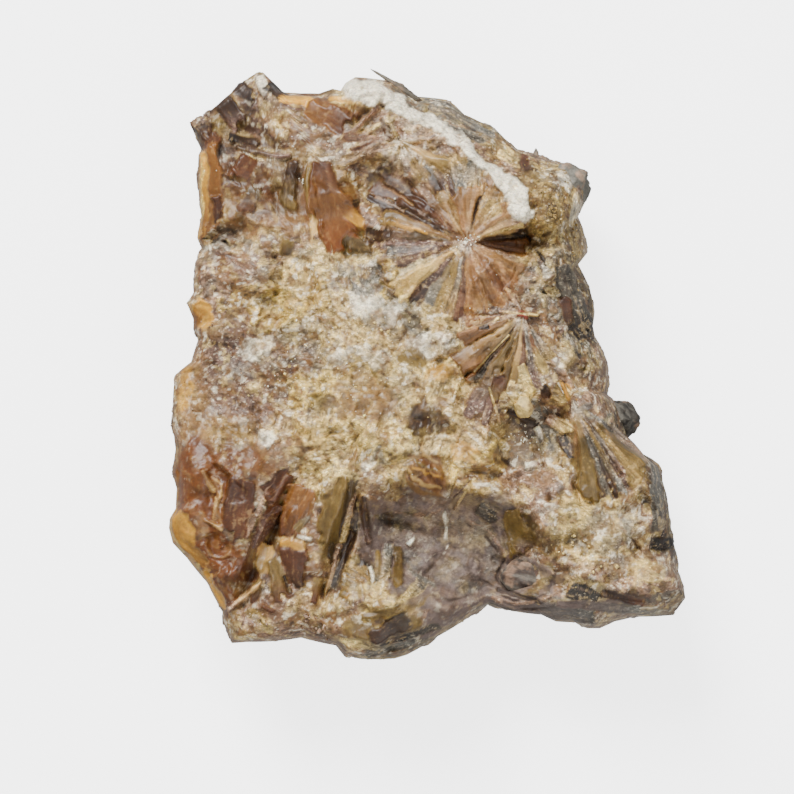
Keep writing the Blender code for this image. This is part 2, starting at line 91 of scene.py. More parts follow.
class Mineral(Enum):
    """The stuff that the specimen is made of, each with its look."""

    AMBER = Look("#6A431A", 0.42, 1.0, 0.15)
    DEEP_AMBER = Look("#633510", 0.40, 1.0, 0.15)
    RED_BROWN = Look("#4A2810", 0.46, 0.8, 0.3)
    HONEY = Look("#BE8A30", 0.38, 1.0, 0.25)
    OLIVE = Look("#685227", 0.42, 0.8, 0.2)
    DARK_OLIVE = Look("#44341A", 0.42, 0.8, 0.2)
    SMOKY = Look("#321F10", 0.46, 0.6, 0.3)
    DARK = Look("#1C1510", 0.50, 0.3, 0.4)
    CREAM = Look("#D6B870", 0.45, 0.5, 1.0)
    YELLOW = Look("#C8A854", 0.42, 0.6, 1.0)
    PINK = Look("#8A6C54", 0.50, 0.4, 1.0)
    MAUVE = Look("#5E473C", 0.54, 0.3, 0.9)
    CLAY = Look("#685850", 0.72, 0.0, 0.22)
    DARK_CLAY = Look("#3C2F27", 0.75, 0.0, 0.2)
    GREY = Look("#6A665C", 0.55, 0.2, 0.9)
    SHALE = Look("#5A5347", 0.75, 0.0, 0.7)
    DARK_SHALE = Look("#322D27", 0.75, 0.0, 0.8)
    OCHRE = Look("#866C3A", 0.50, 0.3, 0.9)
    WHITE = Look("#EEE2C6", 0.50, 0.4, 0.8)
    PEACH = Look("#C29C5E", 0.38, 1.0, 0.1)
    TAN = Look("#7E5B33", 0.45, 0.8, 0.35)
    ROSE = Look("#7A3325", 0.45, 0.8, 0.3)

    @cached_property
    def tone(self) -> Array:
        """Its colour as linear RGB."""
        return linear(self.value.colour)


(
    AMBER, DEEP_AMBER, RED_BROWN, HONEY, OLIVE, DARK_OLIVE, SMOKY, DARK, CREAM, YELLOW, PINK,
    MAUVE, CLAY, DARK_CLAY, GREY, SHALE, DARK_SHALE, OCHRE, WHITE, PEACH, TAN, ROSE,
) = Mineral


# ---- noise


# Whole numbers that scramble a lattice cell, one set for the skin's noise and one for the
# solid's.
SKIN_PRIMES, SKIN_SEED = np.array([374761393, 668265263, 83492791]), 2246822519
SOLID_PRIMES, SOLID_SEED = np.array([73856093, 19349663, 83492791]), 2654435
STIR, SHIFT, LOW_BITS, HALF_RANGE = 1274126177, 13, 0xFFFFFF, 0x7FFFFF


def scrambled(mixed: Array) -> Array:
    """Whole numbers stirred into even random values from -1 to 1."""
    return ((mixed ^ (mixed >> SHIFT)) * STIR & LOW_BITS) / HALF_RANGE - 1


def mixed_bits(cell: Array, seed: int) -> Array:
    """An even random value from -1 to 1 for each whole-number cell (rows of 2 or 3)."""
    return scrambled((cell * SKIN_PRIMES[: cell.shape[1]]).sum(axis=1) + seed * SKIN_SEED)


def solid_bits(cell: Array, seed: int) -> Array:
    """The solid's own random value for each cell, so that skin and solid swell alike."""
    return scrambled(np.bitwise_xor.reduce(cell * SOLID_PRIMES, axis=1) ^ seed * SOLID_SEED)


Bits = Callable[[Array, int], Array]


def smooth_noise(points: Array, wavelength: float, seed: int, bits: Bits = mixed_bits) -> Array:
    """Random values on a cubic lattice, eased between its corners.

    Args:
        points: rows of 2 or 3 coordinates, in mm.
        wavelength: spacing of the lattice, in mm.
        seed: picks the values.
        bits: gives each lattice cell its value.

    Returns:
        The value at each point, from -1 to 1.
    """
    scaled = points / wavelength
    cell = np.floor(scaled).astype(np.int64)
    part = scaled - cell
    ease = part * part * (3 - 2 * part)
    total = np.zeros(len(points))
    for corner in np.ndindex(*(2,) * points.shape[1]):
        total += np.prod(np.where(corner, ease, 1 - ease), axis=1) * bits(cell + corner, seed)
    return total


def fractal(
    points: Array, wavelength: float, octaves: int, seed: int, bits: Bits = mixed_bits
) -> Array:
    """Octaves of smooth noise, each half as wide and half as strong as the last."""
    noises = (smooth_noise(points, wavelength / 2**k, seed + k, bits) for k in range(octaves))
    return np.sum([noise / 2**k for k, noise in enumerate(noises)], axis=0)


def solid_fractal(points: Array, wavelength: float, octaves: int, seed: int) -> Array:
    """Octaves of the solid's own smooth noise."""
    return fractal(points, wavelength, octaves, seed, solid_bits)


@dataclass
class Blocks:
    """Blocks of crystal under a set of points: level, a random value, and edge distance."""

    level: Array
    value: Array
    edge: Array


CENTRE_SHAKE, LEVEL_SPREAD = 0.45, 0.6


def crystal_blocks(x: Array, y: Array, size: float, seed: int, tilt: float = 0.8) -> Blocks:
    """A floor of flat blocks, each at a level and tilt of its own.

    Every lattice cell holds one block centre, shaken off its place. A point belongs to
    the nearest centre and lies on that block's tilted top.

    Args:
        x: points along X, in mm.
        y: points along Y, in mm.
        size: spacing of the blocks, in mm.
        seed: picks the blocks.
        tilt: how steep the tops are.

    Returns:
        The blocks' levels, from about -1 to 1, with a random value for each block and the
        distance to its edge as a share of the spacing.
    """
    cell = np.floor(np.stack([x, y], axis=1) / size).astype(np.int64)
    first = np.full(len(x), np.inf)
    second = np.full(len(x), np.inf)
    level = np.zeros(len(x))
    value = np.zeros(len(x))
    for step in np.ndindex(3, 3):
        where = cell + np.array(step) - 1
        away_x = x / size - where[:, 0] - 0.5 - CENTRE_SHAKE * mixed_bits(where, seed)
        away_y = y / size - where[:, 1] - 0.5 - CENTRE_SHAKE * mixed_bits(where, seed + 1)
        gap = np.hypot(away_x, away_y)
        here = LEVEL_SPREAD * mixed_bits(where, seed + 2)
        here += tilt * away_x * mixed_bits(where, seed + 3)
        here += tilt * away_y * mixed_bits(where, seed + 4)
        closer = gap < first
        second = np.where(closer, first, np.minimum(second, gap))
        first = np.where(closer, gap, first)
        level = np.where(closer, here, level)
        value = np.where(closer, mixed_bits(where, seed + 5), value)
    return Blocks(level, value, second - first)


# ---- the form of the lump

# The broken edge of the lump from above, clockwise from its top left corner.
OUTLINE = (
    (-24.0, 24.3), (-23.2, 25.0), (-21.5, 26.4), (-19.8, 27.9), (-18.2, 29.1), (-16.8, 29.6),
    (-15.8, 28.7), (-14.8, 27.7), (-13.0, 27.6), (-11.2, 27.6), (-9.8, 28.1), (-9.0, 27.9),
    (-8.5, 28.7), (-7.5, 29.3), (-5.2, 29.1), (-4.0, 29.0), (-2.5, 28.2), (-1.4, 27.4),
    (1.8, 27.1), (2.6, 26.6), (3.7, 25.5), (6.8, 24.1), (7.8, 23.1), (9.0, 22.1),
    (12.5, 20.8), (14.5, 20.6), (15.2, 19.6), (16.0, 18.4), (16.1, 17.0), (15.3, 15.2),
    (15.8, 14.0), (16.2, 11.5), (15.3, 10.3), (16.4, 8.1), (17.0, 5.5), (16.8, 4.0),
    (17.0, 3.0), (18.3, 0.3), (18.2, -3.0), (19.0, -3.7), (20.3, -7.3), (21.0, -8.0),
    (22.2, -9.5), (23.4, -10.5), (24.2, -13.0), (24.7, -16.5), (25.3, -21.0), (26.0, -22.5),
    (26.2, -23.8), (25.0, -25.5), (21.0, -25.7), (19.0, -26.2), (17.5, -26.9), (16.2, -26.9),
    (15.0, -26.3), (13.0, -26.2), (11.5, -25.5), (8.0, -25.0), (6.0, -24.4), (3.5, -26.1),
    (1.0, -27.6), (-2.2, -29.5), (-3.5, -29.9), (-7.0, -29.9), (-8.5, -29.5), (-9.5, -28.5),
    (-13.0, -27.7), (-18.5, -28.1), (-20.0, -28.2), (-20.9, -26.0), (-20.9, -25.0),
    (-22.5, -22.0), (-24.5, -19.5), (-25.9, -18.0), (-26.3, -16.5), (-26.2, -15.5),
    (-25.6, -14.5), (-25.5, -12.5), (-25.9, -11.0), (-25.6, -8.5), (-25.8, -2.5),
    (-25.6, -1.0), (-24.0, 0.3), (-23.3, 2.5), (-23.8, 4.7), (-24.4, 6.2), (-23.7, 7.3),
    (-23.6, 10.3), (-22.8, 11.7), (-23.4, 12.8), (-23.0, 15.0), (-23.3, 21.2), (-23.0, 21.8),
    (-23.6, 23.3),
)

# Bearing in degrees, width of the rolled shoulder and height of the widest edge.
SHOULDERS = (
    (-180, 2.2, 12.5), (-145, 2.6, 11.5), (-118, 2.4, 9.5), (-96, 2.6, 8.0), (-72, 3.2, 7.0),
    (-55, 4.4, 6.5), (-40, 3.0, 7.5), (-18, 3.6, 8.0), (10, 5.0, 7.0), (42, 6.0, 7.0),
    (62, 5.2, 7.5), (88, 4.6, 8.5), (112, 3.2, 10.0), (135, 2.6, 11.5), (160, 2.0, 13.0),
)

# Swellings and hollows of the crystal face: x, y, length, width, heading, height, edge.
SWELLS = (
    (3.8, 12.5, 11.0, 9.0, 0, 1.2, 2), (-13.0, 17.5, 9.0, 6.0, 90, 0.6, 3),
    (-7.3, 12.0, 2.2, 1.6, 0, -1.3, 3), (-4.5, 17.6, 3.8, 2.4, 140, -1.7, 2),
    (-19.0, 26.5, 5.0, 3.0, 40, -1.5, 2), (-18.0, 22.8, 3.4, 1.2, -25, -1.4, 2),
    (-20.0, 12.8, 2.8, 1.0, 15, -1.3, 2), (-19.5, 9.5, 4.5, 2.0, -8, 0.7, 2),
    (-17.5, -2.5, 8.0, 5.2, 25, -1.0, 2), (-4.0, -4.0, 11.0, 4.0, -52, 0.9, 2),
    (9.2, 12.4, 3.6, 1.4, 4, -3.4, 2), (12.0, 16.5, 5.0, 3.6, -50, 0.9, 2),
    (10.4, -7.6, 4.6, 4.2, 80, -2.4, 3), (19.0, -9.5, 9.0, 3.0, -58, 1.1, 2),
    (19.2, -6.4, 2.6, 1.3, -60, -1.4, 2), (9.2, -16.8, 2.8, 1.6, 100, -2.2, 3),
    (16.0, -18.8, 9.0, 4.0, -20, 1.5, 3), (22.6, -18.2, 2.8, 1.7, 20, -2.6, 2),
    (2.6, -18.4, 10.0, 5.2, -14, -4.2, 4), (-1.2, -15.9, 5.0, 0.9, -12, -1.4, 2),
    (-5.5, -26.0, 6.0, 2.8, 20, 1.0, 2), (-20.5, -14.0, 8.5, 5.0, 80, 1.6, 3),
    (-16.4, -17.5, 6.5, 0.9, 66, -2.2, 2), (-9.0, -18.3, 6.0, 1.0, 72, -2.4, 2),
)

# The smooth clay hollow and the old print on the face: centre and half sizes.
CLAY_HOLLOW, OLD_PRINT = (2.6, -18.4, 9.5, 5.4), (-17.0, -2.5, 7.5, 5.0)


@dataclass
class Form:
    """The lump's shape: outline, shoulders, face relief and underside, as formulas.

    The face is a shallow dome with named swellings and hollows, smooth noise and tilted
    blocks, which are fainter in the clay by clay_calm. It rolls over to the rim along a
    quarter circle. Lengths are in mm, and base_share is the back's width over the rim's.
    """

    level: float = 17.0
    dome: float = 0.0022
    block_size: float = 3.6
    block_relief: float = 0.9
    roughness: float = 0.55
    swell_mm: float = 6.0
    clay_calm: float = 0.7
    base_share: float = 0.84
    seed: int = 7

    @cached_property
    def edge(self) -> tuple[Array, Array]:
        """The outline's corners as bearings, in rising order, and distances.

        Returns:
            The bearings in radians and the distances in mm.
        """
        corners = np.array(OUTLINE)
        angles = np.arctan2(corners[:, 1], corners[:, 0])
        order = np.argsort(angles)
        return angles[order], np.hypot(corners[:, 0], corners[:, 1])[order]

    def edge_radius(self, bearing: Array) -> Array:
        """Distance from the axis to the outline at each bearing (radians)."""
        return np.interp(bearing, *self.edge, period=2 * math.pi)

    def shoulder(self, bearing: Array) -> tuple[Array, Array]:
        """Width of the rolled shoulder and height of the rim, eased between stations.

        Args:
            bearing: the bearings, in radians.

        Returns:
            The widths and the heights, in mm.
        """
        stations, widths, heights = np.array(SHOULDERS).T
        ease = partial(np.interp, bearing, np.radians(stations), period=2 * math.pi)
        return ease(widths), ease(heights)

    def in_clay(self, x: Array, y: Array) -> Array:
        """1 in the smooth clay hollow and the old print, falling to 0 away from them.

        Args:
            x: points along X, in mm.
            y: points along Y, in mm.

        Returns:
            The share of clay at each point.
        """
        hollow, printed = (
            ((x - cx) / length) ** 2 + ((y - cy) / width) ** 2
            for cx, cy, length, width in (CLAY_HOLLOW, OLD_PRINT)
        )
        return np.clip(np.exp(-(hollow**3)) + np.exp(-(printed**2)), 0, 1)

    def face(self, x: Array, y: Array) -> Array:
        """Height of the crystal face before it rolls over.

        Args:
            x: points along X, in mm.
            y: points along Y, in mm.

        Returns:
            The heights, in mm.
        """
        total = self.level - self.dome * (x**2 + y**2)
        for cx, cy, length, width, heading, height, edge in SWELLS:
            turn = math.radians(heading)
            along = (x - cx) * math.cos(turn) + (y - cy) * math.sin(turn)
            across = (y - cy) * math.cos(turn) - (x - cx) * math.sin(turn)
            total += height * np.exp(-(((along / length) ** 2 + (across / width) ** 2) ** edge))
        flat = np.stack([x, y, np.zeros_like(x)], axis=1)
        total += self.roughness * solid_fractal(flat, self.swell_mm, 3, self.seed)
        blocks = crystal_blocks(x, y, self.block_size, self.seed).level
        return total + self.block_relief * blocks * (1 - self.clay_calm * self.in_clay(x, y))

    def top(self, x: Array, y: Array) -> Array:
        """Height of the upper surface, shoulders included.

        Args:
            x: points along X, in mm.
            y: points along Y, in mm.

        Returns:
            The heights, in mm.
        """
        bearing = np.arctan2(y, x)
        width, rim = self.shoulder(bearing)
        inside = self.edge_radius(bearing) - np.hypot(x, y)
        roll = np.sqrt(1 - (1 - np.clip(inside / width, 0, 1)) ** 2)
        return rim + (self.face(x, y) - rim) * roll


FORM = Form()


# ---- meshes


@dataclass
class Surface:
    """Points, faces and per-point values of one piece, gathered before it is a mesh.

    points is in mm. tone is linear RGB, and rough, clear and grain are from 0 to 1.
    """

    points: Array
    quads: Array
    tris: Array
    tone: Array
    rough: Array
    clear: Array
    grain: Array

    @classmethod
    def joined(cls, parts: list[Surface]) -> Surface:
        """One surface of several, their faces renumbered.

        Args:
            parts: the surfaces.

        Returns:
            The surface that holds them all.
        """
        starts = np.cumsum([0] + [len(p.points) for p in parts[:-1]])
        whole = {
            name: np.concatenate([getattr(p, name) for p in parts])
            for name in ("points", "tone", "rough", "clear", "grain")
        }
        for name in ("quads", "tris"):
            whole[name] = np.concatenate([getattr(p, name) + s for p, s in zip(parts, starts)])
        return cls(**whole)

    def to_object(self, name: str, material: bpy.types.Material, smooth: bool) -> bpy.types.Object:
        """Makes the mesh object and puts it in the scene as part of the specimen.

        Args:
            name: the piece's name.
            material: its finish.
            smooth: whether its quads shade smoothly.

        Returns:
            The new object.
        """
        mesh = bpy.data.meshes.new(name)
        loops = np.concatenate([self.quads.ravel(), self.tris.ravel()]).astype(np.int32)
        sizes = np.concatenate([np.full(len(self.quads), 4), np.full(len(self.tris), 3)])
        starts = np.concatenate([[0], np.cumsum(sizes)[:-1]]).astype(np.int32)
        mesh.vertices.add(len(self.points))
        mesh.vertices.foreach_set("co", (self.points * MM).astype(np.float32).ravel())
        mesh.loops.add(len(loops))
        mesh.loops.foreach_set("vertex_index", loops)
        mesh.polygons.add(len(sizes))
        mesh.polygons.foreach_set("loop_start", starts)
        mesh.update(calc_edges=True)
        mesh.polygons.foreach_set("use_smooth", (sizes == 4) & smooth)
        if smooth:
            mesh.set_sharp_from_angle(angle=SHARP_ANGLE)
        rgba = np.concatenate([self.tone, np.ones((len(self.tone), 1))], axis=1)
        layer = mesh.attributes.new("tone", "FLOAT_COLOR", "POINT")
        layer.data.foreach_set("color", rgba.astype(np.float32).ravel())
        for label in ("rough", "clear", "grain"):
            layer = mesh.attributes.new(label, "FLOAT", "POINT")
            layer.data.foreach_set("value", getattr(self, label).astype(np.float32))
        mesh.materials.append(material)
        obj = bpy.data.objects.new(name, mesh)
        bpy.context.scene.collection.objects.link(obj)
        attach(obj, "root")
        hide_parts(NODE)
        LOG.info("%s: %d triangles", name, int((sizes - 2).sum()))
        return obj


def grid_quads(rows: int, columns: int, wrap: bool = False) -> Array:
    """Quads of a grid of points stored row by row, counter-clockwise seen from +Z.

    Args:
        rows: rows of points.
        columns: points in each row.
        wrap: whether the last column joins the first.

    Returns:
        The quads, four point numbers each.
    """
    row = np.arange(rows - 1)[:, None]
    column = np.arange(columns if wrap else columns - 1)[None, :]
    after = (column + 1) % columns
    corners = (
        row * columns + column,
        row * columns + after,
        (row + 1) * columns + after,
        (row + 1) * columns + column,
    )
    return np.stack([c.ravel() for c in np.broadcast_arrays(*corners)], axis=1)


# ---- what lies on the face


@dataclass(frozen=True)
class Patch:
    """An oval of one mineral on the face: centre, half sizes and heading (mm, degrees)."""

    mineral: Mineral
    x: float
    y: float
    length: float
    width: float
    heading: float = 0.0
    strength: float = 1.0


# Ovals laid on the face, each over the last: mineral, centre, half sizes, heading, strength.
PATCHES = tuple(Patch(*row) for row in (
    (PINK, -12.9, -1.6, 15, 14), (CREAM, -7, 3.5, 11, 8.5, -20, 0.62),
    (CREAM, -8, -6.5, 8, 6, -50, 0.62), (CREAM, 1.1, -3.5, 7, 7, 0, 0.5),
    (TAN, -17.4, 18, 7.4, 6.4, 0, 0.75), (MAUVE, -16.6, 20.8, 5.4, 3.2, -12, 0.9),
    (TAN, -15, 16.4, 4.6, 3.6, 0, 0.95), (RED_BROWN, -18.2, 18.4, 2.6, 3.4, 20, 0.7),
    (MAUVE, -20.6, 25.2, 5.2, 3.2, 38), (DARK_CLAY, -20, 26.2, 3.6, 1.8, 38, 0.7),
    (TAN, -21, -10.6, 5.4, 4.4, 0, 0.7), (MAUVE, -16.8, 0.5, 5.8, 5, 40, 0.75),
    (PINK, -21.4, -1.6, 3.8, 7, 90, 0.6), (MAUVE, -13.9, -3, 5, 3, 45, 0.5),
    (GREY, -3, 6.5, 4.5, 3, 20, 0.7), (GREY, -4.5, -2, 4, 3, 45, 0.4),
    (YELLOW, -16.8, 6.8, 3, 1.2, 5, 0.8), (YELLOW, -13.2, 4.2, 2.6, 1.2, 35, 0.7),
    (YELLOW, -19.8, 6.5, 1.6, 1, 0, 0.6), (YELLOW, -9.2, -0.8, 2.6, 1.6, 60, 0.7),
    (YELLOW, -11.8, -8.8, 2, 3, 30, 0.8), (YELLOW, -8, -6.5, 1.8, 1.2, 20, 0.5),
    (YELLOW, -2.5, 10.2, 2.6, 1.2, 30, 0.9), (YELLOW, -3.8, 8.2, 1.8, 1, 35, 0.9),
    (WHITE, -3.8, 5.2, 2.2, 1.2, 20, 0.7), (WHITE, -8.4, 0.7, 2.4, 1, 15, 0.7),
    (CREAM, -9.9, -11.6, 2.6, 1.6, 30, 0.9), (WHITE, -16.1, -6.8, 1.1, 0.5, 35),
    (WHITE, -19.4, -8.2, 0.8, 0.5), (WHITE, -22.4, -8.2, 0.8, 0.5, 0, 0.9),
    (WHITE, -17.4, 1.2, 1, 0.7, 20, 0.8), (WHITE, -23.9, -7.8, 0.6, 0.6, 0, 0.9),
    (WHITE, -18.4, -0.8, 1.2, 0.6, -20, 0.7), (WHITE, -21.9, -4.8, 0.6, 0.5, 0, 0.8),
    (CREAM, -5.2, -8.1, 2.4, 1.4, 40, 0.8), (WHITE, -5.8, -9.8, 1.4, 0.8, 30, 0.7),
    (GREY, -3, -8.6, 1.8, 1.4, 0, 0.7), (WHITE, -0.5, 1.9, 2, 1.2, 0, 0.8),
    (OLIVE, -1.6, 0.3, 1.2, 0.7, 10, 0.9), (AMBER, 1.6, -0.3, 1.2, 0.8, 0, 0.8),
    (MAUVE, -0.2, -5, 1.4, 1.2, 30, 0.8), (SMOKY, -4.5, -4.2, 0.6, 0.6, 0, 0.7),
    (PINK, -2.5, -10.6, 2.2, 1, 0, 0.7), (OLIVE, -0.3, -11.3, 2.2, 2, -40, 0.9),
    (AMBER, -1.1, -12.8, 1.4, 0.8, -50, 0.7), (CREAM, 1.9, -9.8, 1.8, 1.8, 0, 0.8),
    (YELLOW, 5.8, -9.3, 2.4, 1.4, 15, 0.8), (CREAM, 9.1, -3, 1.5, 2.2, 15, 0.9),
    # Painted light and shade in the next two lines: the honey patch at (13.3, -2.8) is a painted
    # satin glint, the dark shale at (8.2, -6) is painted shade under the cream knob, and the white
    # at (11.2, -7.7) is a painted glint.
    (HONEY, 13.3, -2.8, 0.8, 1.2, 20), (GREY, 9.6, -7.2, 3.8, 3.6),
    (DARK_SHALE, 8.2, -6, 1.4, 1.2, -40, 0.6), (WHITE, 11.2, -7.7, 0.7, 0.9, 70, 0.8),
    (PINK, 10.8, -9.8, 0.9, 0.8, 0, 0.9), (YELLOW, 4.5, -12.6, 2.8, 1.4, 0, 0.6),
    (MAUVE, -19.8, 25.6, 4.4, 2.2, 38, 0.9), (DARK, -21.4, 25.9, 3.6, 1, 40, 0.7),
    (SMOKY, -19.8, 25.1, 1.6, 1, 60, 0.8), (WHITE, -16.8, 27.6, 1.2, 0.4, -55, 0.9),
    (PINK, -15.4, 25.2, 2.4, 1.2, -20, 0.8), (CREAM, -14.4, 24.9, 2, 0.8, 20, 0.6),
    (DARK, -16.8, 22.4, 2.6, 1, -12, 0.8), (GREY, -17.8, 22.9, 1.2, 0.7, -10, 0.5),
    (SMOKY, -11.8, 22.2, 1.4, 0.7, 0, 0.7), (PINK, -13.9, 20.4, 4, 1.6, 0, 0.6),
    (GREY, -11.2, 22.4, 1.2, 0.5, 0, 0.6), (RED_BROWN, -21.6, 22.2, 2, 1.4, -60, 0.95),
    (AMBER, -21.8, 19.9, 2, 1.2, 80, 0.8), (AMBER, -22.1, 16.9, 4.4, 1.2, 88),
    (HONEY, -22.9, 17.2, 4, 0.5, 88, 0.9), (RED_BROWN, -20.6, 15.9, 3, 0.9, 88, 0.8),
    (RED_BROWN, -18.6, 19.9, 1.5, 1.3, 40, 0.95), (PINK, -16.8, 18.9, 2, 1, 10, 0.5),
    (DEEP_AMBER, -18.2, 15.8, 2.1, 1.5, 75), (DARK_OLIVE, -18.7, 15.6, 1.4, 0.8, 75, 0.8),
    (OLIVE, -13.9, 17.6, 2.4, 1, 82), (PINK, -16.1, 14.9, 1.8, 2, 0, 0.5),
    (AMBER, -9.4, 15.4, 5, 2.6, -62), (RED_BROWN, -10.2, 18.2, 2, 1.2, -60, 0.7),
    (OLIVE, -7.3, 12.1, 2, 1.2), (DARK_OLIVE, -7.2, 11.7, 1.6, 0.9, 0, 0.9),
    # The dark patch at (-20.8, 13.6) is painted shade in the hollow there.
    (DARK, -20.8, 13.6, 1.8, 0.7, 10, 0.8), (GREY, -20.1, 12.1, 2.8, 0.8, 5, 0.8),
    (WHITE, -21.6, 11.8, 1.2, 0.4, 0, 0.5), (SMOKY, -21.4, 10.8, 1.8, 0.3, -8, 0.8),
    (PINK, -21.8, 8.2, 2, 2.6, 90, 0.9), (RED_BROWN, -19.8, 10.2, 2.2, 1, -10, 0.4),
    (HONEY, -23.2, 4.8, 1.6, 1.4), (OLIVE, -20.8, 4.2, 2, 0.5, 25, 0.6),
    (OLIVE, -16.1, 4.7, 2.2, 0.3, -12, 0.5), (MAUVE, -15.8, 12.1, 1.8, 1, 20, 0.5),
    (DARK, -14.2, 12.1, 0.8, 0.6, 0, 0.5), (AMBER, -13.2, 25.8, 2, 0.8, -18),
    (AMBER, -9.9, 25.1, 2, 1.5, -30), (DARK, -8.9, 28.1, 1.4, 0.4, 20, 0.8),
    (CREAM, -7.8, 27.2, 2.6, 1.4, 20, 0.9), (WHITE, -6.2, 28.1, 1.6, 1, 0, 0.9),
    (YELLOW, -8, 26.1, 2, 0.8, 0, 0.6), (SMOKY, -6.3, 23.9, 2, 2, 30, 0.7),
    (MAUVE, -4.2, 23.2, 1.2, 1.8, -60, 0.8), (PINK, -5.2, 23.9, 2.2, 1.6, 0, 0.6),
    (PINK, -8.4, 21.4, 3, 1, 10, 0.6), (OCHRE, -4, 21.2, 3.4, 0.8, 18, 0.8),
    (OCHRE, -8.8, 19.4, 2.4, 0.8, -40, 0.7), (SHALE, 2, 25.6, 6.4, 1.2, -22),
    (GREY, 1.1, 26.4, 4, 0.8, -15, 0.8), (SHALE, 6.2, 23.2, 4, 1.4, -35),
    (DARK_SHALE, 4.8, 24.1, 2, 0.6, -25, 0.8), (WHITE, 0.7, 26.1, 0.8, 0.4, 0, 0.6),
    (OCHRE, 7.5, 21.4, 3.4, 1.2, -35, 0.8), (CREAM, 8.2, 20.9, 1.8, 0.6, -30, 0.8),
    (OCHRE, 11.6, 17.4, 3.6, 3, -60), (OCHRE, 13.1, 12.9, 3.4, 3, -70),
    (SMOKY, 9.8, 20.1, 0.8, 1, 0, 0.9), (OLIVE, 10.1, 18.6, 1, 1, 0, 0.7),
    (WHITE, 13.2, 18.2, 1.4, 0.7, -50, 0.9), (GREY, 14.8, 18.9, 1.6, 1.4, -50, 0.8),
    (WHITE, 15.2, 15.9, 1.2, 0.9, 60, 0.7), (DARK_SHALE, 14.2, 15.9, 1, 0.6, -20, 0.5),
    (OLIVE, 11.8, 15.2, 1.4, 0.8, 0, 0.7), (DARK_OLIVE, 14.6, 13.2, 0.8, 1.4, 0, 0.5),
    (CREAM, 13.1, 12.4, 2.2, 1, -50, 0.6), (GREY, 11.8, 10.2, 0.9, 2, -70, 0.8),
    (SHALE, 13.7, 8.7, 1.4, 4, 0, 0.9), (DARK_SHALE, 15.3, 5.2, 1.8, 4.6, 4, 0.95),
    (CREAM, 12.7, 7.7, 0.8, 1.2, 0, 0.6), (RED_BROWN, 13.7, 5.2, 0.9, 1.2, 0, 0.6),
    (SHALE, 14.8, 1.2, 2, 2.4, 0, 0.8), (DARK_SHALE, 16.2, 1.2, 1, 3, 0, 0.8),
    (CREAM, 11.8, 1.4, 1.6, 3, 80, 0.5), (DARK_SHALE, 13.1, 1.9, 0.8, 1.4, -30, 0.5),
    (SMOKY, -3, 16.9, 4, 2.6, -40, 0.9), (OLIVE, 2.5, 18.6, 2.6, 1.8, 0, 0.8),
    (RED_BROWN, 2, 15.4, 3, 2, 0, 0.8), (AMBER, 2.5, 13.9, 2.6, 2, 0, 0.8),
    # The dark patch at (7.8, 12.4) is painted shadow in the pocket under the upper daisy's blades.
    (PEACH, 7, 14.2, 2.6, 1.4, 18, 0.6), (DARK, 7.8, 12.4, 2.6, 0.8, 14),
    (AMBER, 7, 10.8, 2.6, 0.9, -8, 0.9), (MAUVE, -3, 10.9, 2.4, 0.9, 8, 0.8),
    (AMBER, 7, 8, 2.6, 2.2, -40, 0.9), (RED_BROWN, 4.8, 6.5, 1.6, 2.4, 70, 0.8),
    (DARK, 2.8, 7.5, 0.5, 2.6, 0, 0.8), (MAUVE, -0.8, 7.7, 1.8, 0.7, 40, 0.9),
    (OLIVE, 1.1, 7, 1.6, 1.4, 0, 0.6), (AMBER, 10.6, 3.5, 2, 2.4, 0, 0.5),
    (OLIVE, 6, 1.4, 3, 3, 0, 0.7), (DARK_OLIVE, 5.8, -2.8, 1.8, 1.4, 45, 0.8),
    (PINK, 6, -4.5, 2, 1.8, 50, 0.7), (OLIVE, 16.2, -10.2, 4.6, 1.8, -68),
    (DARK_OLIVE, 15.6, -10.6, 4, 0.6, -72, 0.8), (SHALE, 17.4, -7.5, 4.4, 1.4, -52, 0.9),
    (OLIVE, 19.6, -9.3, 3.6, 1.4, -50), (DARK_OLIVE, 21.1, -10.6, 3, 0.6, -50, 0.7),
    (DARK_SHALE, 19.8, -5.5, 1.6, 1.8, -60), (DARK_SHALE, 22.6, -11.6, 1.4, 3, -30, 0.9),
    (SHALE, 23.9, -14.1, 1.4, 4.6, -4, 0.9), (DARK_SHALE, 24.2, -17.6, 1.2, 2.2, -5, 0.9),
    (DARK, 23.4, -18.9, 1.8, 0.7, -10, 0.9), (PINK, 16.9, -4.3, 1.4, 1.4, 0, 0.6),
    (CREAM, 17.1, -17.1, 5.6, 3.4, -20, 0.9), (PINK, 21.1, -19.6, 4, 2.4, -20, 0.8),
    (YELLOW, 14.2, -15.6, 2.2, 1.6, -10, 0.7), (YELLOW, 17.2, -18.1, 2, 1.4, 0, 0.6),
    (YELLOW, 18.2, -13.3, 1.4, 1.2, 0, 0.7), (OCHRE, 12.7, -17.6, 2, 1.2, 40, 0.7),
    (CREAM, 22.1, -20.6, 2.4, 1.2, -20, 0.8), (WHITE, 20.1, -15.6, 1.6, 1, 0, 0.4),
    (DARK_OLIVE, 9.2, -16.6, 1.5, 1.7, 80), (OLIVE, 8.9, -15.4, 0.9, 0.9, 0, 0.8),
    (SHALE, 6.5, -15.1, 1.4, 1.6, -40, 0.8), (CLAY, 9.8, -21.4, 3.2, 1.8, -20),
    (MAUVE, 9.1, -20.8, 2.2, 0.8, -20, 0.7), (DARK, 11.1, -22.1, 2.4, 0.5, 28, 0.9),
    (DARK_SHALE, 15.4, -22.4, 1.8, 0.9, -10, 0.8), (PINK, 17.1, -20.6, 3, 1, -20, 0.7),
    (SMOKY, 19.6, -23.4, 2.2, 0.8, 5, 0.9), (CLAY, 16.1, -25.1, 10, 1.6, -2),
    (CLAY, 13.1, -24.4, 6, 0.8, 0, 0.9), (SHALE, 23.6, -24.1, 3, 1.2, 0, 0.9),
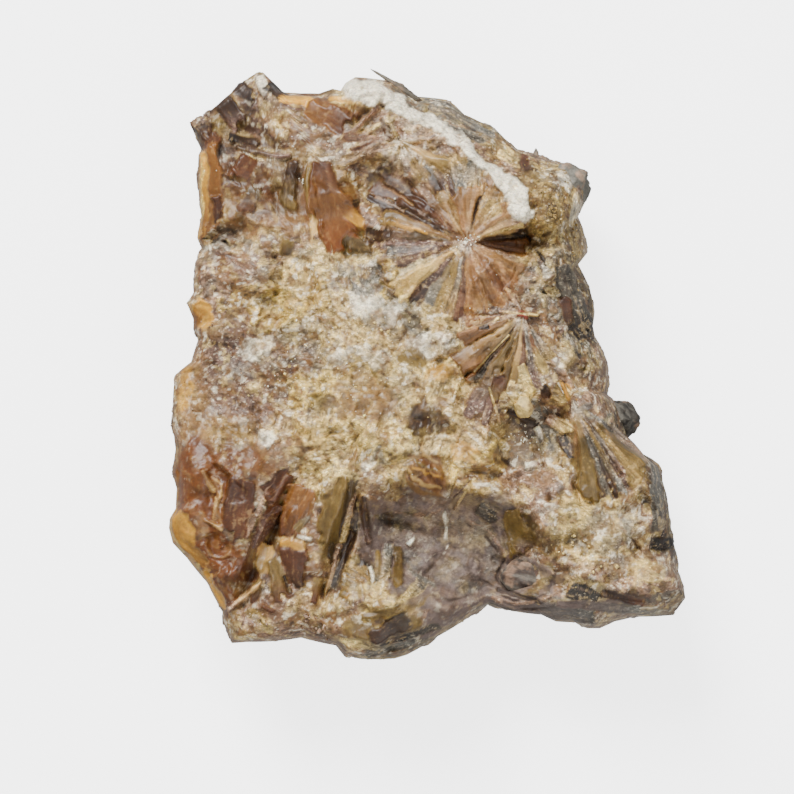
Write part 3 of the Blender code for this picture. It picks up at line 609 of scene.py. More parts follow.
    (MAUVE, 21.1, -24.8, 3, 0.8, 0, 0.6), (CLAY, -0.5, -17.6, 7.8, 5.4, -20),
    (CLAY, 5, -17.6, 4, 5, -30), (CLAY, 4, -22.6, 6, 2.6, 10),
    (MAUVE, -3, -13.6, 4.6, 1.4, -15, 0.7), (PINK, 1.1, -13.6, 4, 1, -20, 0.5),
    # The dark clay patches at (-1.4, -15.2), (-3.5, -16.8) and (3.2, -13.2) are painted shade in
    # slots and under the clay hollow's upper ledge.
    (DARK_CLAY, -1.4, -15.2, 3.4, 0.5, -10, 0.9), (DARK_CLAY, -3.5, -16.8, 2.4, 0.5, -10, 0.9),
    (MAUVE, -0.9, -18.6, 4, 1, -20, 0.6), (DARK_CLAY, 3.2, -13.2, 2.4, 0.5, -28, 0.8),
    (RED_BROWN, 1.6, -19.6, 2.6, 0.8, -20, 0.5), (DARK_CLAY, 2.2, -22.6, 3, 0.5, 10, 0.6),
    (MAUVE, 6.5, -19.6, 2.4, 1.6, 0, 0.6), (OLIVE, -6.8, -21.1, 2.2, 2.8, -60, 0.8),
    (SMOKY, -5.8, -19.6, 1, 3, -10, 0.6), (OCHRE, -7.8, -21.4, 1.4, 1.8, -20, 0.8),
    # The dark patch at (-6.8, -19.4) is painted shade in a pit.
    (CREAM, -5.2, -21.8, 1.2, 1.8, -20, 0.7), (DARK, -6.8, -19.4, 0.9, 0.6),
    (OLIVE, -3.5, -23.8, 4.4, 1.4, 16, 0.8), (CREAM, -4.5, -23.6, 2.2, 0.7, 20, 0.7),
    (OLIVE, -4.5, -26.4, 4.4, 1.8, 10), (SMOKY, -3.6, -26.1, 2, 1.1, 20),
    (YELLOW, -6.2, -25.4, 2.2, 0.5, 15, 0.7), (SHALE, -3, -28.6, 5, 1, 16),
    (CLAY, 1.6, -25.8, 2.6, 1.2, 32), (PINK, -14.9, -26.1, 5.6, 1.4, -2, 0.9),
    (RED_BROWN, -16.8, -24.8, 4, 0.8, -10, 0.5), (RED_BROWN, -9.9, -27.4, 3, 0.8, -20, 0.6),
    (CREAM, -9.6, -24.6, 2, 1, 30, 0.6), (DEEP_AMBER, -22.1, -13.6, 4.6, 3.2, 85),
    (AMBER, -23.9, -11.6, 3.4, 1.8, 80, 0.9), (RED_BROWN, -19.8, -10.6, 3, 1, -10, 0.7),
    (PINK, -20.8, -9.1, 4, 1, -10, 0.6), (DEEP_AMBER, -22.4, -19.6, 5, 2.4, -62),
    (HONEY, -24.6, -18.8, 3.4, 0.9, -58), (HONEY, -25.8, -16.6, 1, 0.8, 0, 0.8),
    (AMBER, -22.9, -21.6, 3.4, 1, -58, 0.9), (RED_BROWN, -20.8, -23.6, 3, 1.4, -60, 0.9),
    (PINK, -21.4, -14.6, 3, 0.9, 80, 0.7), (PINK, -21.8, -18.1, 1.6, 1.2, 0, 0.6),
    (SMOKY, -18.6, -15.8, 3.4, 1.5, 80), (DARK, -15.4, -14.6, 4, 1.2, 58, 0.95),
    (RED_BROWN, -17.9, -20.6, 4, 1.4, 55, 0.9), (SMOKY, -16.1, -19.6, 3, 1.4, 50, 0.8),
    (WHITE, -16.9, -14.2, 1.3, 0.4, -65), (AMBER, -13.9, -15.2, 3.4, 1.6, 40),
    (OLIVE, -13.2, -17.6, 1.4, 1, 0, 0.7), (PEACH, -13.8, -18.1, 1.5, 0.6, -8),
    (RED_BROWN, -13.3, -20.8, 1.8, 1.6, 30, 0.9), (OLIVE, -9.8, -15.6, 4.6, 1.1, 74),
    # The dark patches at (-8.3, -14.1) and (-8.8, -19.6), either side of the cream line, are
    # painted shade beside a thin upstanding blade.
    (DARK, -8.3, -14.1, 3.6, 0.5, 75, 0.9), (CREAM, -8.7, -18.1, 5, 0.3, 74, 0.8),
    (DARK, -8.8, -19.6, 4, 0.6, 74, 0.9), (SMOKY, -9.9, -22.1, 1.6, 1.2, 0, 0.8),
    (MAUVE, -17.6, -1, 5.4, 4.6, 30, 0.5), (PINK, -19, -4.6, 4.4, 2.4, -20, 0.6),
    (YELLOW, -16, 5.2, 2.4, 1.8, -20, 0.85), (CREAM, -12.6, 9, 2.4, 1.4, -10, 0.8),
    (WHITE, -16.8, 1, 1.5, 1.2, 30, 0.6), (CREAM, -5.6, 0.5, 2.6, 1.3, -20, 0.9),
    (WHITE, -5, 0.3, 1.5, 0.7, -10, 0.6), (WHITE, 0.2, 2.1, 2.2, 1.1, 0, 0.7),
    (OLIVE, -1.4, 0.4, 1.6, 0.8, 0, 0.8), (YELLOW, -12.2, -2.4, 2, 2.2, 30, 0.8),
    (YELLOW, -9.6, -8.2, 3.4, 1.7, 20, 0.9), (CREAM, -8, -7, 2.4, 1.2, 30, 0.8),
    (YELLOW, -2.4, -7.6, 1.6, 1.3, 0, 0.9), (HONEY, 1.2, -0.6, 1.4, 1.1, 40, 0.7),
    (TAN, -6.8, -3.2, 3.2, 2.4, -10, 0.6), (GREY, -7, 8.8, 2.6, 2, 0, 0.7),
    (SMOKY, -0.2, -5.2, 1.8, 1.3, 20, 0.7), (TAN, -23.6, -4, 1.6, 4.6, 0, 0.8),
    (HONEY, -24.4, -2.2, 1, 2.4, -8, 0.8), (DEEP_AMBER, -20.4, -9.4, 4.6, 1.6, -8, 0.7),
    (TAN, -15.6, -8.4, 2.4, 1.4, -30, 0.7), (SMOKY, -20, 25.6, 4.8, 3, 38, 0.95),
    (RED_BROWN, -17.4, 22.8, 4.8, 2.4, -15, 0.9), (RED_BROWN, -21, 21.4, 2.6, 2.4, 0, 0.7),
    (TAN, -13.4, 22.6, 3.4, 1.6, 10, 0.6), (WHITE, -16.8, 28.4, 1.5, 0.45, -55, 0.9),
    (RED_BROWN, -15.4, 18.4, 3.4, 2.2, 80, 0.6), (TAN, -18.4, 15.4, 3.4, 1.6, 10, 0.5),
    (TAN, 0.4, -11.4, 2.6, 2.4, 30, 0.9), (AMBER, -0.6, -10.4, 1.6, 1.2, 30, 0.8),
    (YELLOW, 6.6, -9.4, 2.4, 1.6, 60), (OCHRE, 5.8, -10.8, 1.2, 0.7, 40, 0.7),
    # The smoky patch at (9.2, -5.9) is painted shade under the cream knob.
    (HONEY, 3.4, -8.6, 1.4, 0.9, -20, 0.6), (SMOKY, 9.2, -5.9, 1.6, 1, 0, 0.8),
    (CLAY, 3.4, -18.4, 4.2, 4.4, 0, 0.9), (CLAY, -0.8, -20.6, 3.6, 3, 0, 0.8),
    (SHALE, 9.8, -7.6, 3.2, 3.2, 0, 0.75), (GREY, 16.6, -16.4, 5, 2.6, -20, 0.6),
    (DEEP_AMBER, -23, -12.6, 5, 2.6, 86), (DEEP_AMBER, -21.4, -18.2, 6.4, 2.6, -68),
    (HONEY, -25.4, -16.6, 2.4, 1.1, -62), (HONEY, -22.9, -21.4, 3.6, 0.7, -62),
    (SMOKY, -18.4, -14.8, 3.6, 1.6, 80, 0.9), (RED_BROWN, -17.6, -19.6, 4.4, 1.3, 60, 0.8),
    (MAUVE, -18, -1.4, 4.6, 3.8, 35, 0.6), (WHITE, -17.2, 1.6, 1.9, 1.3, 30, 0.7),
    (YELLOW, -16.4, 5.8, 2.2, 1.4, 30, 0.9), (CREAM, -4.2, -8.6, 1.9, 1.7),
    (CREAM, -9.8, -9.6, 3, 2, 30, 0.9), (WHITE, -5.8, 1, 1.9, 1.2, -20, 0.8),
    (SMOKY, -9.9, -4.1, 0.8, 0.9, 0, 0.8), (SMOKY, -0.6, -5.4, 2, 1.6, 30, 0.8),
    (SMOKY, -1.8, 3.2, 1.3, 1.2, 0, 0.8), (WHITE, 0.4, 2.2, 1.7, 1, 0, 0.9),
    (MAUVE, -11.6, 3.4, 2, 1.8, 60, 0.6), (TAN, -5.8, -3.4, 2.8, 2.2, 0, 0.6),
    (WHITE, -6.4, 6.2, 2.4, 1.4, 50, 0.7), (GREY, -6.4, 8.2, 2.2, 1.5, 0, 0.8),
    (SMOKY, -19.4, 25.4, 4.6, 3.4, 38, 0.85), (RED_BROWN, -16.4, 22.6, 4.6, 2.2, -8, 0.85),
    (RED_BROWN, -20.4, 21, 3, 2.2, -60, 0.8), (SMOKY, -19.2, 22.4, 2.6, 0.9, -20, 0.8),
    (RED_BROWN, -16, 18, 3.6, 3.2, 60, 0.55), (PINK, -14.2, 24.4, 3, 0.9, -16, 0.8),
    (WHITE, -16.6, 27.4, 1.8, 0.5, -50, 0.9), (MAUVE, -19.8, 25.2, 5.6, 3.8, 38, 0.95),
    (RED_BROWN, -17.6, 22, 4.4, 1.6, -24, 0.6), (MAUVE, -18.2, 23.4, 6.6, 3.4, 8, 0.8),
    (MAUVE, 11.6, 2.4, 3.4, 1.6, -80, 0.85), (GREY, 12.4, 6.4, 3, 1.4, -75, 0.7),
    (MAUVE, 2.6, 2, 2.2, 1.2, 20, 0.6), (PINK, 4.4, 0.6, 2.4, 1.6, 60, 0.7),
    (SMOKY, -18.8, 24.4, 3, 0.9, 30, 0.7), (SMOKY, -16.4, 22.6, 1.4, 0.7, -10, 0.7),
    (PINK, -14.6, 24.2, 2.6, 0.9, -14, 0.8), (SMOKY, -20.6, 25, 3, 1.2, 40, 0.8),
    (CLAY, 0.6, -17.6, 7.4, 5.6, -10, 0.9), (CLAY, 4.6, -21.6, 5.4, 3.2, -10, 0.9),
    (MAUVE, -4.8, -12.4, 2.4, 1.4, -30, 0.8), (GREY, 14.4, -25, 10, 1.3, -3, 0.75),
    (PINK, 13, -25.4, 9, 1.3, -3, 0.45), (DARK_SHALE, -1.6, 3.4, 1.2, 1.2, 0, 0.8),
    (OLIVE, -1.4, 0.6, 1.7, 0.8, 0, 0.9), (YELLOW, -16.2, 6, 2.4, 1.6, 20),
    (YELLOW, -11.4, 6.2, 2.2, 1.4, 60, 0.7), (CREAM, -10, -8.4, 3, 2.4, 30, 0.9),
    (WHITE, -16, -7, 1.2, 0.8, 30, 0.9), (TAN, -19.6, -6.2, 2, 1.3, 0, 0.7),
    (GREY, -4.6, -9, 1.4, 1.2, 0, 0.8), (SMOKY, -0.4, -5.6, 1.9, 1.6, 20, 0.8),
    # From (-3, -16.2) to (-7, -19.6) the dark clay and dark patches are painted shade in slots and
    # a pit.
    (CREAM, -3, -8, 1.8, 1.8), (DARK_CLAY, -3, -16.2, 1.8, 0.4, -22, 0.9),
    (DARK_CLAY, -1, -15.4, 0.9, 0.25, -8, 0.9), (DARK, -4, -16.2, 1.4, 0.35, -22, 0.9),
    (DARK, -1.4, -15.3, 1.2, 0.3, 4, 0.8), (DARK, -7, -19.6, 0.9, 0.5, 0, 0.9),
    (DARK_CLAY, 5.2, -21.6, 1.8, 0.9, 20, 0.8), (DARK_CLAY, 12.9, -21.8, 1.6, 0.5, 30, 0.8),
))


@dataclass(frozen=True)
class Blade:
    """A flat crystal at a bearing from its spray's root: length and far width in mm.

    lift is its height over the face, cant raises its left edge, end is the mineral that it
    turns into at its far end, and start is how far from the root it begins.
    """

    bearing: float
    length: float
    width: float
    lift: float
    cant: float
    mineral: Mineral
    end: Mineral
    start: float = 0.0


def blades(*rows: tuple) -> tuple[Blade, ...]:
    """Blades from rows of their values."""
    return tuple(Blade(*row) for row in rows)


@dataclass(frozen=True)
class Spray:
    """A run of blades from one root, each laid over the last.

    root_gap is how far from the root they begin (mm), bend how much their edges wander,
    and fibre how strongly light and dark fibres run out from the root.
    """

    name: str
    x: float
    y: float
    root_gap: float
    blades: tuple[Blade, ...]
    bend: float = 0.35
    fibre: float = 0.22


@dataclass(frozen=True)
class Plate:
    """A flat crystal set in the face, from one end to the other.

    near and far are its widths at the two ends, rise the height of each end over the
    face, and cant how far its left edge is up (mm). end is the mineral of its far end.
    """

    x: float
    y: float
    bearing: float
    length: float
    near: float
    far: float
    rise: tuple[float, float]
    cant: float
    mineral: Mineral
    end: Mineral


@dataclass(frozen=True)
class Line:
    """A narrow band along a path: its half width, and how far it stands up or sinks (mm)."""

    mineral: Mineral
    half: float
    lift: float
    path: tuple[tuple[float, float], ...]


SPRAYS = (
    Spray("upper_daisy", 3.7, 12.2, 0.3, blades(
        (84, 8.6, 2, 0.4, 0.2, OCHRE, GREY, 4.6), (97, 9, 2.4, 0.5, -0.2, GREY, OCHRE, 4.8),
        (110, 9.2, 2.2, 0.4, 0.2, MAUVE, OCHRE, 4.8), (119, 9.4, 1.2, 0.2, 0.1, SMOKY, GREY, 4.6),
        (62, 6.8, 2.6, 0.2, -0.2, OCHRE, TAN, 3.4), (45, 7, 2.2, 0.2, 0.2, OCHRE, PINK, 5),
        (74, 5.4, 1.8, 0.4, 0.2, TAN, OCHRE), (88, 5.6, 2.4, 0.5, -0.2, TAN, TAN),
        (104, 5.8, 2.4, 0.7, 0.2, AMBER, TAN), (119, 6.2, 2.2, 0.5, -0.2, TAN, OCHRE),
        (131, 7.6, 1.6, 0.4, 0.2, TAN, PINK), (140, 11.4, 2.4, 0.1, -0.1, RED_BROWN, SMOKY),
        (149, 11.6, 1.8, 0.4, 0.2, SMOKY, RED_BROWN), (145, 11, 0.3, 0.5, 0, TAN, MAUVE, 6.5),
        (156, 11.2, 1.8, 0.2, -0.1, SMOKY, SMOKY), (153, 10.4, 0.3, 0.4, 0, PINK, PINK, 7),
        (163, 9.6, 1.9, 0.6, 0.2, TAN, OLIVE, 1.5), (167, 9.4, 0.7, 0.7, 0, HONEY, OLIVE, 4),
        (174, 10.2, 2.2, 0.1, -0.2, DARK_OLIVE, SMOKY, 1.6),
        (181, 9.6, 1.3, 0.3, 0.2, MAUVE, MAUVE, 1), (188, 9, 1.6, 0.3, 0.2, MAUVE, GREY, 1.6),
        (196, 7.8, 2, 0.4, -0.2, MAUVE, SMOKY, 2.6), (206, 8.6, 1.3, 0.3, 0.2, GREY, CREAM, 2.2),
        (216, 9.2, 2.8, 0.7, 0.2, PEACH, CREAM, 1.2), (214, 8.8, 1.7, 0.8, 0, PEACH, YELLOW, 2.4),
        (228, 8.6, 1.7, 0.1, -0.3, MAUVE, SMOKY, 2), (237, 8, 1.5, 0.3, 0.2, OLIVE, GREY, 1.6),
        (247, 7.8, 1.9, 0.4, 0.3, OLIVE, OCHRE, 2), (256, 7.6, 1.1, 0.4, 0.2, GREY, OLIVE, 1.6),
        (264, 8.6, 1.3, -0.5, -0.2, SMOKY, RED_BROWN, 1), (273, 7.8, 1.4, 0.4, 0.2, TAN, AMBER, 1),
        (283, 7.8, 2, 0.5, 0.2, AMBER, TAN, 1), (296, 7.6, 1.9, 0.4, -0.2, TAN, AMBER),
        (309, 7.2, 1.9, 0.5, 0.2, AMBER, RED_BROWN), (321, 6.8, 1.8, 0.4, -0.2, TAN, AMBER),
        (333, 7.2, 1.6, 0.4, 0.2, TAN, TAN, 1), (343, 7.4, 1.2, 0.2, 0, PINK, OCHRE, 1.4),
        (357, 7, 2.8, -0.9, -0.3, RED_BROWN, AMBER, 1), (9, 6.4, 0.9, -1.8, 0.2, SMOKY, DARK, 1.6),
        (36, 6, 2.8, 0.7, 0.2, TAN, TAN, 0.8), (52, 5.2, 2.2, 0.6, 0.3, TAN, OCHRE, 1),
        (22, 6.4, 1.5, 0.9, -0.2, PEACH, PINK, 0.8), (17, 6.2, 0.4, 1, 0, CREAM, CREAM, 2),
        (72, 4.8, 0.5, -0.2, 0, SMOKY, SMOKY, 1.4),
    )),
    Spray("lower_daisy", 9.3, 5, 0.3, blades(
        (186, 6.4, 1.5, 0.6, 0.3, PINK, AMBER), (203, 7.6, 2, 0.8, -0.3, TAN, AMBER, 1.6),
        (216, 8.6, 1.9, 0.9, 0.4, PEACH, AMBER), (226, 8.8, 2.2, 0.8, -0.4, OLIVE, AMBER, 1),
        (236, 9, 1.4, 0.6, 0.4, PINK, GREY, 1), (243, 12.4, 2.6, 0.9, 0.4, OLIVE, MAUVE, 1),
        (250, 11.8, 1, 0.6, 0.1, RED_BROWN, MAUVE, 6.4),
        (255, 9.6, 1.2, 0.7, -0.3, OLIVE, RED_BROWN), (263, 7.4, 1, 0.6, 0.3, PEACH, OLIVE),
        (271, 6.4, 1, 0.4, -0.3, RED_BROWN, SMOKY, 1.6), (280, 7.6, 1.2, 0.3, 0.3, GREY, MAUVE, 1),
        (290, 6.8, 1.1, 0.5, -0.3, RED_BROWN, CREAM, 2),
        (302, 5.6, 1.3, 0.4, 0.3, GREY, OCHRE, 1.6), (120, 3.6, 1.2, 0.4, 0.2, PINK, AMBER),
    )),
    Spray("right_spray", 14.2, -3.4, 0.4, blades(
        (322, 10.4, 1.4, 0.6, 0.2, GREY, PINK, 2), (315, 10.6, 1.8, 0.3, 0.3, OLIVE, OLIVE, 3.4),
        (309, 12.2, 2.2, 0.5, -0.3, OCHRE, OLIVE, 3.6), (303, 11.8, 1.6, 0.4, 0.3, SHALE, MAUVE),
        (298, 11.6, 1, 0.5, 0.3, OCHRE, GREY, 1.8), (294, 11.8, 0.9, 0.2, -0.3, SHALE, SMOKY),
        (290, 11.6, 0.9, 0.6, 0.3, GREY, SHALE, 1), (286, 11.4, 1.3, 0.4, 0, OLIVE, SMOKY, 1.4),
        (281, 11.6, 2.8, 0.8, -0.3, OLIVE, OLIVE, 2), (276, 8.6, 0.8, 0.7, 0, TAN, OLIVE, 2.6),
    ), bend=0.12, fibre=0.42),
    Spray("amber_swirl", 2, -13.4, 0.2, blades(
        (96, 4.4, 1.5, 0.2, 0.3, OLIVE, OCHRE), (112, 4.8, 1.6, 0.3, -0.3, AMBER, TAN),
        (128, 5, 1.7, 0.2, 0.3, RED_BROWN, AMBER), (144, 4.8, 1.6, 0.3, -0.3, AMBER, RED_BROWN),
        (80, 4.2, 1.2, 0.2, 0.2, OCHRE, YELLOW),
    )),
    Spray("top_rosette", -2.8, 22.4, 0.5, blades(
        (176, 6.6, 1.4, 0.7, -0.3, PINK, RED_BROWN), (200, 7.2, 1.4, 0.5, 0.3, PINK, OCHRE),
        (20, 5.2, 1.4, 0.5, -0.3, PINK, OCHRE), (330, 6, 1.7, 0.6, 0.3, PEACH, OLIVE),
        (300, 4.6, 1.6, 0.5, -0.3, OCHRE, OLIVE), (262, 4.2, 1.3, 0.4, 0.2, OCHRE, SMOKY),
    )),
)

PLATES = tuple(Plate(*row) for row in (
    # Upper left.
    (-20.4, 22.9, -9, 3.6, 1.2, 1, (0, 0.2), -0.3, DARK, SMOKY),
    (-19.4, 21.9, -12, 5.7, 0.7, 0.5, (0.1, 0.2), 0, SMOKY, MAUVE),
    (-20.8, 26.4, -53, 3, 2, 2.2, (0, 0.1), 0.3, SMOKY, MAUVE),
    (-19.8, 28.4, -32, 3.1, 1.8, 1.4, (-0.1, 0.2), -0.3, SMOKY, DARK),
    (-17.1, 29.2, -69, 2.8, 1, 0.7, (0.3, 0.2), 0, WHITE, MAUVE),
    (-16.1, 28.1, -40, 2.3, 1.4, 0.9, (0.1, 0.2), 0, DARK, SMOKY),
    (-22.9, 24.2, -64, 3.4, 1.6, 1.6, (0.4, 0.3), -0.3, SMOKY, RED_BROWN),
    (-22.6, 21.4, -91, 8.5, 1.1, 0.7, (0, 0), 0.2, HONEY, AMBER),
    (-21.6, 21.9, -87, 5.7, 1.3, 1.4, (0.4, 0.5), 0.3, AMBER, AMBER),
    (-21.4, 16.9, -88, 3.2, 1.1, 0.9, (0.3, 0.2), 0, RED_BROWN, SMOKY),
    (-18.1, 21.1, -111, 3, 2, 1.8, (0.3, 0.4), -0.2, RED_BROWN, RED_BROWN),
    (-17.4, 17.4, -114, 3.5, 1.2, 2, (0.1, 0.5), 0.2, DARK_OLIVE, RED_BROWN),
    (-13.8, 20.1, -94, 4.9, 1.1, 1.7, (0.5, 0.6), 0.2, SMOKY, OLIVE),
    (-12.9, 27.4, 7, 3.8, 0.7, 0.9, (-0.2, 0), 0, RED_BROWN, OLIVE),
    (-14.9, 26.4, -3, 4.2, 0.8, 1.8, (0.2, 0.5), -0.2, HONEY, HONEY),
    (-9.9, 26.8, -6, 4.1, 0.5, 0.6, (0.3, 0.3), 0, HONEY, CREAM),
    (-11.9, 26, -28, 4.6, 2.8, 3.2, (0.7, 0.7), 0.1, AMBER, RED_BROWN),
    (-12.2, 19.6, -81, 8, 0.9, 1.2, (0.4, 0.5), -0.2, OLIVE, PEACH),
    (-11.2, 20.4, -76, 5.4, 1.6, 4.4, (0.5, 0.8), -0.2, RED_BROWN, AMBER),
    (-9.8, 16.8, -80, 6, 4.4, 2.6, (0.8, 0.6), 0.25, AMBER, DEEP_AMBER),
    (-8.8, 16.1, -52, 3.4, 1.4, 1.2, (0.6, 0.4), -0.2, AMBER, HONEY),
    (-8.9, 12.1, -7, 3.4, 1.2, 1.6, (0.3, 0.4), 0.2, DARK_OLIVE, DARK_OLIVE),
    (-7.8, 16.1, 17, 1, 0.9, 0.8, (0.4, 0.4), 0, SMOKY, DARK_OLIVE),
    (-13.9, 12.4, -104, 1.6, 1.2, 1.4, (0.2, 0.2), 0, OLIVE, SMOKY),
    (-22.4, 6, -126, 2.7, 1.8, 1.4, (0.2, 0), 0, HONEY, AMBER),
    # Top.
    (-8, 23.1, 43, 4.4, 0.5, 0.6, (0.4, 0.5), 0.2, PINK, RED_BROWN),
    (-7.3, 22.6, 29, 4.6, 0.4, 0.6, (0.4, 0.5), -0.2, PINK, CREAM),
    (-7.8, 21.4, 20, 4.7, 0.5, 0.5, (0.4, 0.4), 0.2, RED_BROWN, PINK),
    (-4.8, 24.6, -67, 2.6, 0.5, 0.7, (0.5, 0.3), 0.3, SMOKY, RED_BROWN),
    (-4.2, 24.9, -63, 2.9, 0.4, 0.5, (0.5, 0.3), -0.3, CREAM, SMOKY),
    (-8.2, 20.8, 13, 7.4, 0.6, 0.9, (0.3, 0.4), 0.2, PINK, OCHRE),
    (-3.5, 22.2, 8, 4.5, 0.6, 0.8, (0.2, 0.3), -0.2, OCHRE, PINK),
    (-1.4, 24.6, -16, 7.8, 1, 0.8, (-0.2, -0.2), 0.2, GREY, SHALE),
    (0.1, 26.1, -23, 7.6, 0.8, 0.6, (-0.4, -0.4), -0.2, SHALE, GREY),
    (7, 21.4, -31, 2.3, 0.8, 0.7, (0, 0), 0, CREAM, OCHRE),
    (9.8, 21.4, -95, 2.4, 0.9, 1, (0.2, 0.1), 0, RED_BROWN, SMOKY),
    # Lower left.
    (-25.4, -10.6, -95, 5.4, 0.9, 1.1, (-0.2, -0.2), 0.1, AMBER, HONEY),
    (-25.5, -15.2, -60, 7.2, 1.9, 1.2, (-0.1, -0.2), 0.2, HONEY, AMBER),
    (-22.6, -20.9, -65, 4.4, 0.9, 0.7, (-0.3, -0.4), 0.1, HONEY, HONEY),
    (-18.7, -11.6, -98, 6.8, 3.2, 2.6, (0.2, 0.3), 0, RED_BROWN, RED_BROWN),
    (-22.6, -10.6, -66, 2.6, 0.4, 0.5, (0.4, 0.5), 0, TAN, PEACH),
    (-21.2, -13.4, -98, 2.4, 0.5, 0.3, (0.5, 0.4), 0, PEACH, TAN),
    (-22.4, -15.6, -28, 2.2, 0.35, 0.4, (0.4, 0.5), 0, TAN, PEACH),
    (-14.2, -10.8, -130, 3.8, 1.8, 2.4, (0.2, 0), 0.1, RED_BROWN, RED_BROWN),
    (-15.3, -13.6, -116, 6.9, 1.6, 0.9, (-0.2, -0.1), 0.2, RED_BROWN, MAUVE),
    (-16.6, -13.2, -108, 2.2, 0.3, 0.7, (0.3, 0.3), 0.1, PINK, PINK),
    (-12.7, -12.3, -109, 5.7, 3, 2.2, (0.4, 0.5), 0.3, AMBER, RED_BROWN),
    (-13.3, -16.4, 42, 2.4, 0.8, 0.7, (0.1, 0.2), 0, OLIVE, GREY),
    (-16.1, -18.1, -108, 3.6, 1.6, 1.2, (0.3, 0.4), 0.2, PEACH, OLIVE),
    (-15.9, -19.6, -71, 4.2, 1.2, 2.2, (0.2, 0.4), -0.2, OLIVE, RED_BROWN),
    (-13.6, -18.4, -84, 3.9, 2.8, 1.6, (0.5, 0.2), 0.3, RED_BROWN, SMOKY),
    (-14.7, -17.8, -7, 2.7, 0.8, 1.1, (0.7, 0.9), 0.2, HONEY, PEACH),
    # Painted highlight: this white plate is a glint.
    (-13.2, -17.1, -17, 1.7, 0.3, 0.4, (0.9, 0.9), 0, WHITE, WHITE),
    (-17.8, -23.8, 70, 3, 1, 0.8, (0.2, 0.4), 0.2, RED_BROWN, OLIVE),
    (-20.2, -24.6, 40, 4.8, 0.6, 0.4, (0.6, 0.8), 0.1, PINK, PEACH),
    (-14.6, -21.2, -68, 1.8, 0.3, 0.3, (-0.6, -0.6), 0, DARK, DARK),
    (-11.7, -23.9, 78, 2.5, 0.9, 0.8, (0.3, 0.3), 0, RED_BROWN, OLIVE),
    (-18.1, -24.6, -44, 3.9, 1.1, 0.6, (0.2, 0.2), 0.1, OCHRE, CREAM),
    (-16.8, -24.1, -25, 1.7, 0.5, 0.5, (0.4, 0.4), 0, RED_BROWN, RED_BROWN),
    (-8.2, -11, -108, 8.4, 1.4, 3, (0.8, 0.7), 0.4, OLIVE, OLIVE),
    (-9.9, -17.8, -99, 2.6, 1.1, 0.4, (0.7, 0.2), 0, DARK_OLIVE, DARK_OLIVE),
    (-7.5, -11.3, -103, 6.8, 0.7, 0.5, (0.1, 0), 0, DARK_OLIVE, SMOKY),
    (-7.2, -13.2, -96, 3.8, 0.5, 1, (-0.2, -0.1), 0, SMOKY, DARK_SHALE),
    (-7.8, -16.8, -109, 7.2, 1.2, 0.7, (0, -0.1), 0, SMOKY, DARK_SHALE),
    (-7.3, -12.9, -107, 5.7, 0.3, 0.7, (0.7, 0.6), 0, PINK, CREAM),
    (-9.1, -18.1, -106, 5.8, 0.6, 0.4, (0.6, 0.2), 0, PINK, OLIVE),
    (-6.5, -13.2, -86, 5.2, 0.7, 0.9, (0, 0), 0.2, SMOKY, MAUVE),
    (-8.4, -20.6, -30, 2.4, 1.1, 1.4, (0.2, 0.3), 0.1, OCHRE, TAN),
    (-8.9, -22.8, -40, 1.6, 0.9, 0.9, (0.2, 0.3), 0, OLIVE, HONEY),
    # Painted highlight: this white plate is a glint.
    (-6, -20.2, -72, 1.6, 0.3, 0.4, (0.7, 0.6), 0, WHITE, WHITE),
    (-5.2, -18.8, -90, 3.2, 0.6, 0.5, (0.2, 0.2), 0, OLIVE, GREY),
    (-4.2, -18.1, -93, 3.6, 0.8, 1, (0.4, 0.4), 0.2, GREY, OCHRE),
    (-3.3, -18.4, -88, 3.8, 0.8, 1, (0.3, 0.3), 0, DARK_OLIVE, OLIVE),
    # Painted highlight: this white plate is a glint chip.
    (-2.1, -18.2, 48, 1.2, 0.5, 0.5, (0.9, 0.9), 0, WHITE, WHITE),
    # Bottom.
    (-5.8, -27.6, 27, 4.5, 1.4, 2.2, (0.5, 0.4), 0.2, SMOKY, DARK_OLIVE),
    (-6.8, -25.4, 14, 4.9, 0.6, 1, (0.5, 0.5), -0.2, OLIVE, OCHRE),
    (-8.9, -27.6, -11, 6.1, 0.6, 0.9, (0, -0.3), 0.2, CREAM, SHALE),
    (-5, -28.1, 16, 7.3, 0.5, 0.8, (-0.2, -0.3), 0, DARK_SHALE, SHALE),
    (-7, -29.6, 18, 6.3, 0.6, 0.7, (-0.6, -0.4), 0, SHALE, GREY),
    (-3, -23.6, 36, 3.1, 0.8, 1.2, (0.2, 0.2), 0, CREAM, SHALE),
    (4.5, -11.3, -121, 4.1, 0.25, 0.2, (0.5, 0.5), 0, CREAM, PINK),
    (4, -11.6, -132, 2.7, 0.2, 0.2, (0.4, 0.4), 0, MAUVE, DARK),
    (5.2, -14.2, -25, 2.3, 1.6, 2, (0.4, 0.4), 0.2, SHALE, DARK_SHALE),
    (8.4, -14.3, -77, 5.1, 1.8, 2.8, (0.5, 0.6), 0.2, OLIVE, OLIVE),
    (9.4, -17.1, -80, 2.2, 2.2, 1.4, (0.6, 0.5), 0.2, OLIVE, MAUVE),
    (7, -22.8, -14, 4.9, 0.6, 0.5, (-0.6, -0.6), 0, DARK_CLAY, DARK_CLAY),
    (14.2, -22.6, -20, 3, 1.5, 1.5, (0.6, 0.4), 0.2, DARK_SHALE, DARK_SHALE),
    (17.2, -22.9, -15, 4.6, 0.9, 0.9, (0.2, 0.1), 0, SMOKY, RED_BROWN),
    (7, -24.1, -9, 10.1, 1, 2.6, (-0.3, -0.5), 0.2, CLAY, GREY),
    (13.1, -24.1, -4, 9, 0.8, 1, (0.1, 0), 0.2, CLAY, GREY),
    # Right.
    (17.1, -7.2, 63, 2.7, 0.5, 0.5, (0.3, 0.3), 0, CREAM, GREY),
    (12.3, -2.8, -20, 2.3, 2, 1.6, (0.2, 0.2), 0.2, OCHRE, CREAM),
